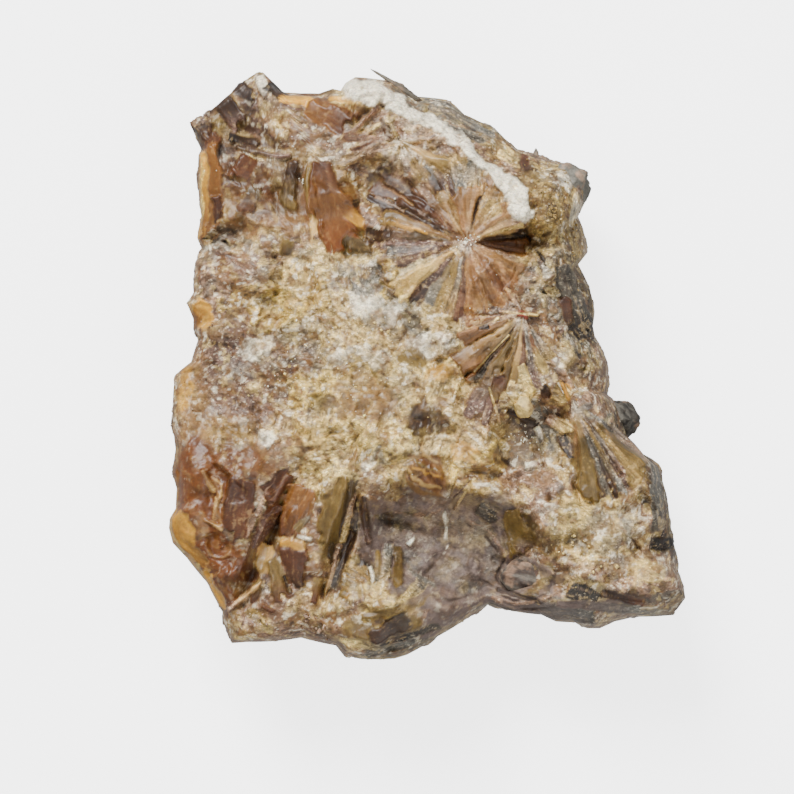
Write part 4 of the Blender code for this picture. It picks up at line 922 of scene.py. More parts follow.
    # The raised honey lath and the white line on it carry a painted satin sheen, the white line a
    # painted highlight.
    (13.1, -1.9, -63, 2, 0.4, 0.5, (0.9, 0.8), 0, HONEY, HONEY),
    (12.8, -1.9, -63, 1.3, 0.15, 0.15, (1.1, 1.1), 0, WHITE, WHITE),
    (11.2, -2, -68, 1.6, 0.9, 0.8, (0.2, 0.2), 0, SMOKY, RED_BROWN),
    # The next two sunk dark plates are painted shade: under the cream knob, and under the pink
    # crust's lower edge.
    (7.8, -4.8, -18, 3.9, 0.8, 0.9, (-0.7, -0.7), 0, SMOKY, DARK_SHALE),
    (13.2, -6.8, -65, 2.9, 0.8, 1.2, (-0.5, -0.4), 0, DARK_SHALE, DARK),
    # Painted highlight: this white plate is the sparkle in the grey pocket.
    (10.7, -6.3, -69, 1.9, 0.6, 0.8, (0.4, 0.3), 0.1, WHITE, GREY),
    (9.8, -10.2, 13, 1.8, 0.7, 0.8, (0.3, 0.3), 0, WHITE, MAUVE),
    (11.7, -5.5, -27, 3.1, 1.2, 1, (0.5, 0.5), 0.2, PINK, CREAM),
    (22.6, -17.6, -12, 3, 1.3, 1.1, (-0.5, -0.6), 0, DARK_SHALE, DARK),
    (22.6, -9.6, -84, 8.1, 1.4, 1.6, (0.2, 0.2), 0.2, GREY, SHALE),
    (13.2, 10.2, -70, 8.3, 2, 3, (-0.1, -0.1), 0.2, SHALE, DARK_SHALE),
    (13.7, 6.5, -81, 2.6, 1.2, 1.4, (0.2, 0.2), 0, RED_BROWN, SMOKY),
))

LINES = tuple(Line(*row) for row in (
    # Open cracks, sunk and painted dark: painted shade in the gaps.
    (DARK, 0.17, -0.6, ((9.4, 13.7), (10.2, 12.9), (10.9, 11.6), (11.5, 10.4), (11.9, 8.9))),
    (DARK, 0.15, -0.5, ((11.1, 7.5), (11.8, 6.9), (12.2, 6))),
    (SMOKY, 0.09, -0.3, ((4.3, 13.4), (4.8, 14.8), (5, 16.2), (5.6, 17.4))),
    (DARK, 0.12, -0.5, ((-23.9, 12.2), (-22.4, 12.8), (-20.6, 12.3), (-19.6, 11.6))),
    (SMOKY, 0.10, -0.4, ((-2, 4.6), (-1, 3.6), (-0.2, 3.4))),
    (SMOKY, 0.12, -0.4, ((-1.6, -5.2), (-0.4, -6), (0.4, -7.4))),
    (SMOKY, 0.12, -0.4, ((6.6, -7.8), (7.4, -9.4), (8.8, -10.6))),
    (SMOKY, 0.09, -0.3, ((18.4, -16.4), (20.4, -17.2), (21.6, -18.6))),
    # Curved laths of the amber bowl.
    (PEACH, 0.16, 0.15, ((-0.9, -8.1), (-0.6, -9.2), (0.2, -9.8), (1.2, -9.9))),
    (OLIVE, 0.22, 0.10, ((-1.7, -8.4), (-1.3, -9.9), (-0.1, -10.7), (1.4, -10.7))),
    (HONEY, 0.14, 0.15, ((-2.1, -8.4), (-1.7, -10.2), (-0.3, -11.1), (1.4, -11.2))),
    (PEACH, 0.16, 0.15, ((-2.5, -8.6), (-2, -10.8), (-0.6, -11.9), (1.2, -12.1))),
    (TAN, 0.20, 0.10, ((-2.8, -9.4), (-2.3, -11.6), (-0.8, -12.7), (1, -12.9))),
    # Crust on the amber mass.
    (TAN, 0.20, 0.2, ((-22.4, -11.3), (-21.5, -12.1), (-21.1, -13.5), (-21.3, -15),
        (-20.7, -16.5), (-21.1, -18))),
    (PEACH, 0.10, 0.2, ((-22, -11.2), (-21, -12.4), (-21, -14.6))),
    (TAN, 0.14, 0.2, ((-21.7, -16.3), (-22.4, -17.5), (-21.7, -19), (-20.5, -19.3),
        (-19.7, -18.3), (-20.3, -16.9))),
    (TAN, 0.10, 0.15, ((-20.1, -11.3), (-19.3, -12.7), (-19.7, -14.5))),
    (PINK, 0.12, 0.15, ((-15.4, -11), (-16.8, -13.6), (-18, -16.6), (-19, -18.8))),
    # Bright edges of the honey rim: painted light, where the thin amber edge glows with light from
    # behind it.
    (YELLOW, 0.34, 0, ((-26, -15.4), (-25.6, -17.2), (-24.2, -19.2), (-23, -21.4))),
    (YELLOW, 0.18, 0, ((-22.9, 21), (-23.1, 18), (-23, 14.6))),
    # Ledges and drag lines of the clay.
    (DARK_CLAY, 0.20, -0.35, ((7.7, -19.3), (6.7, -21.4), (8.3, -23.2), (10.7, -23.6),
        (12.4, -22.7))),
    (PINK, 0.28, 0.3, ((5.4, -23.6), (8.9, -24.2), (10.7, -23.9), (12.9, -23), (14.4, -21.6))),
    (DARK_CLAY, 0.14, -0.3, ((5.8, -24.3), (9, -24.9), (12.4, -24.2))),
    (DARK_CLAY, 0.12, -0.2, ((3.9, -15.8), (5.9, -17.6), (7.7, -19.3))),
    (PINK, 0.10, 0.1, ((4.4, -15.6), (6.4, -17.2), (8, -18.9))),
    (DARK_CLAY, 0.14, -0.2, ((4, -22), (5.4, -22.4), (6.8, -22.6))),
    (PINK, 0.12, 0.1, ((-4.6, -14.4), (-2.6, -14.8), (-0.6, -15), (1.6, -14.4))),
    # This dark clay line is painted shadow under the upper ledge of the clay hollow.
    (DARK_CLAY, 0.14, -0.2, ((-6, -13), (-4.6, -13.6), (-3.2, -13.2))),
    (DARK_CLAY, 0.12, -0.2, ((0, -22.8), (2, -23.6), (4.4, -23.4))),
    (GREY, 0.14, 0.1, ((-2.6, -20.6), (-0.8, -21.4), (0.6, -22.4))),
    (DARK_CLAY, 0.10, -0.15, ((0.8, -17), (3.2, -18.4), (5, -20.4))),
    (WHITE, 0.17, 0.2, ((1.75, -14.6), (2, -16.3), (1.7, -17.4), (1.9, -18.4))),
))

# The white vein's path from its upper left end.
VEIN = (
    (-8.0, 27.9), (-5.6, 27.0), (-3.0, 26.1), (0.4, 24.2), (3.2, 22.5), (5.2, 20.4), (7.2, 18.4),
    (8.6, 16.9), (9.1, 15.3),
)

TOP_PLATES = tuple(Plate(*row) for row in (
    # Over the sprays.
    (8.8, 5, -5, 1.1, 0.7, 0.8, (0.4, 0.4), 0, ROSE, ROSE),
    (8.2, 3.5, -129, 5.8, 0.2, 0.15, (-0.1, -0.1), 0, SMOKY, DARK),
    (7.8, 2.9, -133, 5, 0.15, 0.15, (1, 0.9), 0, CREAM, CREAM),
    (7, 5.2, -4, 4, 0.3, 0.3, (0.5, 0.5), 0, PINK, CREAM),
    (6, 3.9, 39, 1.3, 0.3, 0.4, (0.4, 0.4), 0, PINK, CREAM),
    (4.8, 3.5, 12, 1.4, 0.5, 0.7, (0.1, 0.1), 0, SMOKY, DARK),
    (7, -1.1, -88, 2.6, 1.4, 1.2, (0.5, 0.4), 0.2, RED_BROWN, OLIVE),
    (6, -2.4, -73, 3.8, 0.25, 0.2, (0.8, 0.7), 0, CREAM, PINK),
    (5.8, -6, -97, 1.6, 0.4, 0.2, (0.5, 0.4), 0, PINK, CREAM),
    (8.4, -3.5, -7, 1.6, 1.2, 1.8, (0.9, 0.9), 0.2, CREAM, CREAM),
    (8.8, -3.8, -14, 0.8, 0.6, 0.8, (1.1, 1.1), 0.1, OLIVE, OLIVE),
    (9.1, -0.1, -70, 3, 0.6, 1, (0.3, 0.4), 0, CREAM, YELLOW),
))


# ---- colour of the face


@dataclass
class Ground:
    """Colour and finish of a set of points, changed as minerals are laid on them.

    tone is linear RGB, rough, clear and grain are from 0 to 1, and lift is how far the
    patches raise or sink the points, in mm.
    """

    tone: Array
    rough: Array
    clear: Array
    grain: Array
    lift: Array

    def lay(self, mineral: Mineral, share: Array, at: Array | slice = slice(None)) -> None:
        """Mixes a mineral in by its share, 0 to 1, at some of the points."""
        look = mineral.value
        self.tone[at] += (mineral.tone - self.tone[at]) * share[:, None]
        self.rough[at] += (look.rough - self.rough[at]) * share
        self.clear[at] += (look.clear - self.clear[at]) * share
        self.grain[at] += (look.grainy - self.grain[at]) * share


# How a veil in clear crystal tints red, green and blue.
VEIL = np.array([0.9, 1.05, 1.2])

# Small crystals scattered through the grainy ground: mineral, size (mm), octaves, seed
# step, the noise at which they start and are full, and how strong they are. Those of the
# ASLANT minerals lie drawn out across the face.
SCATTERS = (
    (CREAM, 1.9, 5, 1, 0.30, 0.7, 0.45), (YELLOW, 3.4, 5, 2, 0.35, 0.8, 0.45),
    (GREY, 3.2, 5, 3, 0.30, 0.75, 0.55), (MAUVE, 1.5, 5, 4, 0.35, 0.8, 0.55),
    (TAN, 2.3, 5, 9, 0.30, 0.7, 0.42), (OLIVE, 1.3, 4, 5, 0.60, 0.9, 0.5),
)
ASLANT = (GREY, MAUVE)


@dataclass
class FaceColours:
    """Spreads the minerals over the face.

    Each patch is an oval whose edge is pushed about by coarse and fine noise, so that it
    ends in ragged tongues. Fine mottling then breaks it into small crystals. push is how
    far each size of noise moves a patch's edge (mm), and edge how softly it ends. A patch
    of a pale mineral stands up by pale_lift and a dark one lies lower by dark_lift (mm).
    """

    seed: int = 300
    coarse_mm: float = 2.6
    coarse_push: float = 0.55
    fine_mm: float = 0.7
    fine_push: float = 0.32
    edge: float = 0.20
    pale_lift: float = 0.24
    dark_lift: float = -0.20
    pale_green: float = 0.19

    def paint(self, x: Array, y: Array) -> Ground:
        """Lays the patches over a pink-grey ground.

        Args:
            x: points along X, in mm.
            y: points along Y, in mm.

        Returns:
            The ground's colour and finish at each point.
        """
        flat = np.stack([x, y], axis=1)
        x, y = (
            place
            + self.coarse_push * fractal(flat, self.coarse_mm, 3, seed)
            + self.fine_push * fractal(flat, self.fine_mm, 3, seed + 20)
            for place, seed in ((x, self.seed), (y, self.seed + 50))
        )
        ground = Ground(np.zeros((len(x), 3)), *(np.zeros(len(x)) for _ in range(4)))
        ground.lay(PINK, np.ones(len(x)))
        for patch in PATCHES:
            turn = math.radians(patch.heading)
            dx, dy = x - patch.x, y - patch.y
            near = np.flatnonzero(np.hypot(dx, dy) < 1.25 * max(patch.length, patch.width))
            dx, dy = dx[near], dy[near]
            along = dx * math.cos(turn) + dy * math.sin(turn)
            across = dy * math.cos(turn) - dx * math.sin(turn)
            reach = np.hypot(along / patch.length, across / patch.width)
            share = np.clip((1 + self.edge / 2 - reach) / self.edge, 0, 1)
            share = share * share * (3 - 2 * share) * patch.strength
            ground.lay(patch.mineral, share, near)
            small = min(1.0, patch.width / 1.2) * (patch.length < 6) * patch.mineral.value.grainy
            pale = patch.mineral.tone[1] > self.pale_green
            ground.lift[near] += share * small * (self.pale_lift if pale else self.dark_lift)
        return ground

    def mottle(self, x: Array, y: Array, z: Array, ground: Ground) -> None:
        """Breaks the grainy ground into small pale, brown and dark crystals, with painted light on
        the tops of its lumps and painted shade in the gaps between them.

        Clay gets drag marks and grit instead, and clear crystal a soft brown veil.

        Args:
            x: points along X, in mm.
            y: points along Y, in mm.
            z: the points' heights, in mm.
            ground: their colour and finish, which this changes.
        """
        flat = np.stack([x, y, 0.7 * z], axis=1)
        lean = np.stack([0.8 * x + 0.6 * y, 2.0 * (0.8 * y - 0.6 * x), z], axis=1)
        grain = 0.05 + 0.95 * ground.grain
        lump = self.lumps(x, y)
        # Painted light and shade: the lumps that the relief raises are made lighter and creamier
        # on their tops, and darker and more mauve in the gaps between them.
        ground.tone *= (1 + 0.30 * lump * grain)[:, None]
        ground.lay(CREAM, 0.25 * np.clip((lump - 0.15) / 0.5, 0, 1) * grain)
        ground.lay(MAUVE, 0.45 * np.clip((-0.15 - lump) / 0.5, 0, 1) * grain)
        smooth = 1 - ground.grain
        clay = FORM.in_clay(x, y) * smooth
        drag = self.slip(x, y)
        ground.tone *= (1 + 0.16 * drag * smooth + 0.34 * drag * clay)[:, None]
        ground.tone *= (1 + 0.30 * fractal(flat, 0.45, 3, self.seed + 45) * clay)[:, None]
        veil = fractal(flat, 3.6, 4, self.seed + 41)[:, None] * VEIL
        ground.tone *= 1 + (0.22 * veil - 0.06) * (smooth * ground.clear)[:, None]
        printed = np.clip(fractal(flat, 1.6, 5, self.seed + 42) * 1.6 - 0.3, 0, 0.4)
        ground.lay(GREY, printed * clay)
        for mineral, size, octaves, pick, low, high, amount in SCATTERS:
            aslant = lean if mineral in ASLANT else flat
            field = fractal(aslant, size, octaves, self.seed + pick)
            ground.lay(mineral, np.clip((field - low) / (high - low), 0, 1) * amount * grain)
        bent = 0.25 * fractal(flat, 0.7, 3, self.seed + 10)
        for size, pick in ((1.0, 11), (0.5, 21)):
            blocks = crystal_blocks(x + bent, y - bent, size, self.seed + pick)
            soft = np.clip(blocks.edge / 0.25, 0, 1) * grain
            ground.tone *= (1 + 0.22 * blocks.value * soft)[:, None]
            ground.lay(CREAM, np.clip(blocks.value * 3 - 2.2, 0, 0.5) * soft)
            ground.lay(TAN, np.clip(-blocks.value * 3 - 1.7, 0, 0.6) * soft)
        lumps = crystal_blocks(x - bent, y + bent, 0.85, self.seed + 31)
        where = fractal(flat, 7.0, 2, self.seed + 33) + 0.1
        where = np.clip(where + 0.12 * (-12 - x - 0.5 * y), 0, 1)
        lump = np.clip(lumps.value * 3 - 1.2, 0, 1) * np.clip(lumps.edge / 0.2 - 0.3, 0, 1)
        ground.lay(AMBER, 0.65 * lump * where * grain)
        needles = self.needles(x, y)
        ground.tone *= (1 + 0.26 * needles * grain)[:, None]
        specks = fractal(flat, 0.5, 3, self.seed + 8)
        pale = np.clip((0.7 * needles + 0.6 * specks - 0.52) / 0.25, 0, 1)
        ground.lay(WHITE, 0.65 * pale * grain)
        dark = np.clip((-needles - 0.5 * specks - 0.55) / 0.4, 0, 1)
        ground.lay(SMOKY, dark * 0.6 * grain)

    def lumps(self, x: Array, y: Array) -> Array:
        """Angular lumps of crystal of three sizes, from about -1 in the gaps to 1 on top.

        Args:
            x: points along X, in mm.
            y: points along Y, in mm.

        Returns:
            The lumps' levels.
        """
        bent = 0.35 * fractal(np.stack([x, y], axis=1), 1.3, 4, self.seed + 44)
        total = np.zeros(len(x))
        for size, share in ((2.7, 0.5), (1.3, 0.35), (0.65, 0.2)):
            seed = self.seed + int(10 * size)
            total += share * crystal_blocks(x + bent, y - bent, size, seed, 1.3).level
        return total

    def slip(self, x: Array, y: Array) -> Array:
        """Fine drag marks in the clay, which run down to the right."""
        drawn = np.stack([0.5 * (x - 0.5 * y), 2.0 * (y + 0.5 * x)], axis=1)
        return fractal(drawn, 1.7, 5, self.seed + 40)

    def needles(self, x: Array, y: Array) -> Array:
        """Bundles of fine needles, each bundle about 2 mm across and lying its own way.

        Args:
            x: points along X, in mm.
            y: points along Y, in mm.

        Returns:
            Noise drawn out along the needles, from about -1 to 1.
        """
        flat = np.stack([x, y], axis=1)
        push = 0.5 * fractal(flat, 1.2, 2, self.seed + 14)
        way = crystal_blocks(x + push, y - push, 1.9, self.seed + 15).value
        total = np.zeros(len(x))
        for low, degrees in ((-1.0, 18), (-0.45, -38), (0.1, 75), (0.55, -8)):
            turn = math.radians(degrees)
            along = x * math.cos(turn) + y * math.sin(turn)
            across = y * math.cos(turn) - x * math.sin(turn)
            field = fractal(np.stack([0.8 * along, 2.6 * across], axis=1), 1.0, 4, self.seed + 16)
            total = np.where(way >= low, field, total)
        return total

    def pits(self, x: Array, y: Array) -> Array:
        """How far into a pit each point is, from 0 to 1."""
        flat = np.stack([x, y], axis=1)
        return np.clip((-fractal(flat, 2.2, 4, 130) - 0.62) / 0.5, 0, 1)


COLOURS = FaceColours()


# ---- the skin


@dataclass
class FaceSkin:
    """The crystal face and the upper part of its sides, in four closed quarters.

    A square grid is bent so that its rings follow the outline. The inner rings carry the
    face, with its crystal blades and plates, and the last few run down the sides. Each
    quarter is closed by two rings and a fan inside the lump. out_share is how far the
    side rings carry the face's colours on, and unroll how much the steep shoulder is
    spread out for its relief, so that nothing smears down it. Lengths are in mm.
    """

    cells: int = 520
    side_rings: int = 14
    side_drop: float = 3.0
    out_share: float = 0.13
    unroll: float = 0.9
    steepest_drop: float = 12.0
    pit_depth: float = 0.8
    rim_fade: float = 0.6
    side_inset: float = 0.05
    side_rough: float = 0.022
    inside_height: float = 3.0

    def build(self) -> list[Surface]:
        """Bends the grid, adds the relief and the colours, and cuts it in four.

        Returns:
            The lower left, lower right, upper left and upper right quarters.
        """
        n = self.cells
        u, v = np.meshgrid(np.linspace(-1, 1, n + 1), np.linspace(-1, 1, n + 1))
        u, v = u.ravel(), v.ravel()
        ring = np.maximum(np.abs(u), np.abs(v))
        face_share = 1 - self.side_rings / (n / 2)
        bearing = np.arctan2(v, u)
        reach = np.minimum(ring / face_share, 1.0) * FORM.edge_radius(bearing)
        down = np.clip((ring - face_share) / (1 - face_share), 0, 1)
        x, y = reach * np.cos(bearing), reach * np.sin(bearing)
        out_x, out_y = x * (1 + self.out_share * down), y * (1 + self.out_share * down)
        ground = COLOURS.paint(out_x, out_y)
        ledges = self.softened(FORM.top(x, y).reshape(n + 1, n + 1), 6).ravel()
        drop = np.clip(FORM.face(x, y) - ledges, 0, self.steepest_drop) + self.side_drop * down
        unrolled = 1 + self.unroll * drop / np.maximum(np.hypot(x, y), 8)
        far_x, far_y = x * unrolled, y * unrolled
        COLOURS.mottle(far_x, far_y, ledges - self.side_drop * down, ground)
        z = ledges + self.relief(far_x, far_y, ground.grain) + ground.lift
        pits = COLOURS.pits(x, y) * (0.15 + 0.85 * ground.grain)
        z -= self.pit_depth * pits
        # Painted shade: the pits are darkened with DARK as well as sunk.
        ground.lay(DARK, 0.55 * pits)
        Crystals(out_x, out_y, z, ground).lay_all()
        inside = np.clip((FORM.edge_radius(bearing) - np.hypot(x, y)) / self.rim_fade, 0, 1)
        z = ledges + (self.softened(z.reshape(n + 1, n + 1), 1).ravel() - ledges) * inside
        fine = self.relief(far_x, far_y, ground.grain)
        rim = FORM.shoulder(bearing)[1]
        ragged = 0.012 * fractal(np.stack([x, y, 3 * down], 1), 3, 3, 5)
        inward = np.where(down > 0, 1 - self.side_inset * down**1.3 + ragged, 1)
        x, y = x * inward, y * inward
        rough = 1 + self.side_rough * fine * (down > 0)
        x, y = x * rough, y * rough
        z = np.where(down > 0, rim + fine * (1 - down) - self.side_drop * down, z)
        ground.tone = np.clip(ground.tone, 0.004, 0.92)
        ground.grain += 0.36 * FORM.in_clay(x, y) * (1 - ground.grain) * (1 - ground.clear)
        ground.clear *= np.clip(np.minimum(np.abs(x), np.abs(y)) / 1.5, 0, 1)
        points = np.stack([x, y, z], axis=1).reshape(n + 1, n + 1, 3)
        half = n // 2
        spans = (slice(0, half + 1), slice(half, n + 1))
        return [self.quarter(points, ground, rows, columns) for rows in spans for columns in spans]

    def softened(self, grid: Array, times: int) -> Array:
        """Eases steps: each point is mixed with its neighbours, this many times over.

        Args:
            grid: rows of heights.
            times: how often.

        Returns:
            The eased heights.
        """
        for _ in range(times):
            for axis in (0, 1):
                wide = np.concatenate([grid.take([0], axis), grid, grid.take([-1], axis)], axis)
                ahead, behind = np.delete(wide, [0, 1], axis), np.delete(wide, [-1, -2], axis)
                grid = 0.5 * grid + 0.25 * (ahead + behind)
        return grid

    def quarter(self, points: Array, ground: Ground, rows: slice, columns: slice) -> Surface:
        """One quarter of the grid, closed by two rings and a fan inside the lump.

        Args:
            points: the whole grid's points, in rows.
            ground: their colour and finish.
            rows: the quarter's rows.
            columns: its columns.

        Returns:
            The closed surface.
        """
        n = self.cells
        part = points[rows, columns]
        side = part.shape[0]
        pick = lambda a: a.reshape(n + 1, n + 1, -1)[rows, columns].reshape(side * side, -1)
        corner = np.arange(side * side).reshape(side, side)
        sides = (corner[0, :-1], corner[:-1, -1], corner[-1, :0:-1], corner[:0:-1, 0])
        loop = np.concatenate(sides)
        flat = part.reshape(-1, 3)
        middle = np.array([part[..., 0].mean(), part[..., 1].mean(), self.inside_height])
        lip, foot = flat[loop] * (0.9, 0.9, 1), flat[loop] * (0.7, 0.7, 1)
        lip[:, 2] = np.minimum(lip[:, 2] - 0.3, 6.0)
        foot[:, 2] = np.minimum(lip[:, 2] - 0.2, 3.5)
        count = len(loop)
        rings = [loop, side * side + np.arange(count), side * side + count + np.arange(count)]
        walls = [
            np.stack([np.roll(high, -1), high, low, np.roll(low, -1)], axis=1)
            for high, low in zip(rings[:-1], rings[1:])
        ]
        centre = np.full(count, side * side + 2 * count)
        fan = np.stack([np.roll(rings[2], -1), rings[2], centre], axis=1)
        last = lambda a, value: np.append(pick(a)[:, 0], np.full(2 * count + 1, value))
        clay = np.tile(CLAY.tone, (2 * count + 1, 1))
        return Surface(
            np.concatenate([flat, lip, foot, middle[None]]),
            np.concatenate([grid_quads(side, side), *walls]), fan,
            np.concatenate([pick(ground.tone), clay]),
            last(ground.rough, 0.7), last(ground.clear, 0.0), last(ground.grain, 0.5),
        )

    def relief(self, x: Array, y: Array, grain: Array) -> Array:
        """Fine relief: lumps of crystal where it is grainy, drag marks and grit in clay.

        Args:
            x: points along X, in mm.
            y: points along Y, in mm.
            grain: how grainy each point is, from 0 to 1.

        Returns:
            The relief, in mm.
        """
        flat = np.stack([x, y], axis=1)
        total = 0.16 * fractal(flat, 1.9, 4, 21) + 0.07 * (0.2 + grain) * fractal(flat, 0.5, 3, 23)
        total += 0.08 * COLOURS.slip(x, y) * (1 - grain)
        clay = FORM.in_clay(x, y) * (1 - grain)
        total += clay * (0.12 * COLOURS.slip(x, y) + 0.09 * fractal(flat, 0.7, 4, 24))
        return total + 0.34 * (0.10 + grain) * COLOURS.lumps(x, y)


@dataclass
class Crystals:
    """Lays the vein, the plates and the sprays on the face's points, each over the last.

    Every crystal is a canted plane over the part of the face that its outline covers. The
    outline is bent and frayed by noise and melts into what lies under it. Laths of their
    own height and shade split the crystal, and fine streaks run along it.
    """

    x: Array
    y: Array
    z: Array
    ground: Ground
    lath_mm: float = 0.55
    step: float = 0.03
    height: float = 0.75
    seed: int = 400

    def __post_init__(self) -> None:
        """Makes the noise that all of the crystals share."""
        flat = np.stack([self.x, self.y], axis=1)
        self.bent_x, self.bent_y = (
            place + 0.36 * fractal(flat, 2.6, 3, seed) + 0.09 * fractal(flat, 0.55, 2, seed + 3)
            for place, seed in ((self.x, 61), (self.y, 66))
        )
        self.ragged = fractal(flat, 1.0, 4, 33)
        self.waves = fractal(flat, 2.6, 3, 31)
        self.fine = fractal(flat, 0.32, 2, 35)

    def lay_all(self) -> None:
        """Lays plates, sprays, the vein and the lines, then the plates over them all."""
        for plate in PLATES:
            self.plate(plate)
        for spray in SPRAYS:
            self.spray(spray)
        self.vein()
        for line in LINES:
            self.line(line)
        for plate in TOP_PLATES:
            self.plate(plate)

    def from_path(self, path: tuple[tuple[float, float], ...]) -> tuple[Array, Array, float]:
        """Each point's distance from a path and its place along it.

        Args:
            path: the path's corners, in mm.

        Returns:
            The distances, the places along the path and the path's length, in mm.
        """
        away = np.full(len(self.x), np.inf)
        along = np.zeros(len(self.x))
        run = 0.0
        for (ax, ay), (bx, by) in zip(path[:-1], path[1:]):
            span = math.hypot(bx - ax, by - ay)
            dx, dy = self.bent_x - ax, self.bent_y - ay
            share = np.clip((dx * (bx - ax) + dy * (by - ay)) / span**2, 0, 1)
            gap = np.hypot(dx - share * (bx - ax), dy - share * (by - ay))
            closer = gap < away
            away = np.where(closer, gap, away)
            along = np.where(closer, run + share * span, along)
            run += span
        return away, along, run

    def line(self, line: Line) -> None:
        """Lays a crack, a ledge or a thin curved lath: ragged, and widest in its middle.

        Args:
            line: the line.
        """
        away, along, run = self.from_path(line.path)
        at = np.flatnonzero(away < 1.0)
        half = line.half * np.sin(math.pi * np.clip(along[at] / run, 0.03, 0.97)) ** 0.5
        half = half * (1 + 0.7 * self.waves[at] + 0.6 * self.ragged[at])
        broken = np.clip(1.2 + 1.6 * self.ragged[at], 0, 1)
        share = np.clip((half - away[at]) / 0.12 + 0.3, 0, 1) * broken
        self.z[at] += line.lift * share
        self.ground.lay(line.mineral, 0.9 * share, at)

    def vein(self) -> None:
        """The white vein: a worn ridge of fine fibres that run across it, wall to wall."""
        away, along, run = self.from_path(VEIN)
        at = np.flatnonzero(away < 2.2)
        away, along, ragged = away[at], along[at], self.ragged[at]
        half = 0.94 + 0.8 * (along / run - 0.45) ** 2 + 0.26 * fractal(along[:, None], 2.4, 3, 42)
        share = np.clip((half + 0.30 * ragged - away) / 0.22, 0, 1)
        fibre = fractal(np.stack([along * 4.0, away * 0.5], axis=1), 1.0, 3, 43)
        lump = np.sqrt(np.clip(1 - (away / (half + 0.35)) ** 2, 0, 1))
        self.z[at] += share * (0.45 * lump + 0.05 * fibre + 0.10 * ragged) + 0.2 * lump
        share = share * np.clip(1.15 + 0.7 * ragged + 0.4 * fibre, 0, 1)
        self.ground.lay(WHITE, share, at)

    def spray(self, spray: Spray) -> None:
        """Lays one spray: blades that widen away from the root that they share.

        Args:
            spray: the spray.
        """
        dx = self.x + spray.bend * (self.bent_x - self.x) - spray.x
        dy = self.y + spray.bend * (self.bent_y - self.y) - spray.y
        away, bearing = np.hypot(dx, dy), np.degrees(np.arctan2(dy, dx))
        heart = FORM.top(np.array([spray.x]), np.array([spray.y]))[0] + 0.3
        for blade in spray.blades:
            spread = math.atan2(0.5 * blade.width, blade.length)
            off = np.radians((bearing - blade.bearing + 180) % 360 - 180)
            begins = max(blade.start, spray.root_gap)
            near = np.abs(off) * away < spread * away + 0.2
            near &= (np.abs(off) < 0.6) & (away < blade.length) & (away > begins)
            at = np.flatnonzero(near)
            if not len(at):
                continue
            t, part = off[at] / spread, away[at] / blade.length
            turn = math.radians(blade.bearing)
            reach = np.array([blade.length])
            tip = FORM.top(spray.x + reach * math.cos(turn), spray.y + reach * math.sin(turn))[0]
            lift = 0.6 * self.height * blade.lift
            start = heart + 0.5 * min(lift, 0)
            level = start + (tip + lift - start) * part - 0.30 * part**2
            level += 0.7 * blade.cant * t * part
            length = blade.length - begins
            run = (away[at] - begins) / length
            seed = int(abs(blade.bearing * 7 + spray.x * 31))
            self.crystal(at, level, t, run, spread * away[at], 0.5 * blade.width, length,
                         max(-blade.lift, 0.0), seed, blade.mineral, blade.end)
        self.fibres(spray, away, np.radians(bearing))

    def fibres(self, spray: Spray, away: Array, angle: Array) -> None:
        """Lays fine light and dark lines that run out from the root, and crust on it.

        Args:
            spray: the spray.
            away: each point's distance from the root, in mm.
            angle: its bearing from the root, in radians.
        """
        reach = 0.8 * max(blade.length for blade in spray.blades)
        low = min(blade.bearing for blade in spray.blades) - 8
        high = max(blade.bearing for blade in spray.blades) + 8
        bearing = np.degrees(angle) % 360
        inside = ((bearing > low) & (bearing < high)) | (high - low > 300)
        at = np.flatnonzero((away < reach) & inside)
        away, angle = away[at], angle[at]
        around = np.stack([5 * np.cos(angle), 5 * np.sin(angle), 0.4 * away], axis=1)
        line, pale = fractal(around, 1.0, 4, self.seed + 5), fractal(around, 0.7, 4, self.seed + 9)
        fade = np.clip((reach - away) / 2.5, 0, 1)
        self.ground.tone[at] *= (1 + spray.fibre * line * fade)[:, None]
        pale = fade * np.clip((pale - 0.25) / 0.35, 0, 1)
        self.ground.tone[at] *= (1 + 0.6 * pale)[:, None]
        self.ground.lay(PINK, 0.28 * pale, at)
        self.z[at] += 0.06 * line * fade
        crust = np.clip(0.5 + self.ragged[at] + 0.9 * line, 0, 1)
        core = np.exp(-((away / (5 * spray.root_gap)) ** 2)) * crust
        self.ground.lay(PINK, 0.65 * core, at)
        centre = 0.75 * np.exp(-((away / (3.4 * spray.root_gap)) ** 2)) * crust
        self.ground.lay(WHITE, centre, at)

    def plate(self, plate: Plate) -> None:
        """Lays one plate: a straight crystal whose width runs from near to far.

        Args:
            plate: the plate.
        """
        turn = math.radians(plate.bearing)
        bend = min(1.0, max(plate.near, plate.far) / 1.6)
        dx = self.x + bend * (self.bent_x - self.x) - plate.x
        dy = self.y + bend * (self.bent_y - self.y) - plate.y
        along = dx * math.cos(turn) + dy * math.sin(turn)
        across = dy * math.cos(turn) - dx * math.sin(turn)
        part = along / plate.length
        half = 0.5 * (plate.near + (plate.far - plate.near) * np.clip(part, 0, 1))
        at = np.flatnonzero((part > -0.02) & (part < 1) & (np.abs(across) < half + 0.2))
        if not len(at):
            return
        t, part, half = across[at] / half[at], part[at], half[at]
        ends = np.array([0.0, 1.0]) * plate.length
        base = FORM.top(plate.x + ends * math.cos(turn), plate.y + ends * math.sin(turn))
        first, last = base + self.height * np.array(plate.rise)
        level = first + (last - first) * part + plate.cant * t
        seed = int(abs(plate.x * 91 + plate.y * 57))
        self.crystal(at, level, t, part, half, max(plate.near, plate.far) / 2, plate.length,
                     max(-min(plate.rise), 0.0), seed, plate.mineral, plate.end)

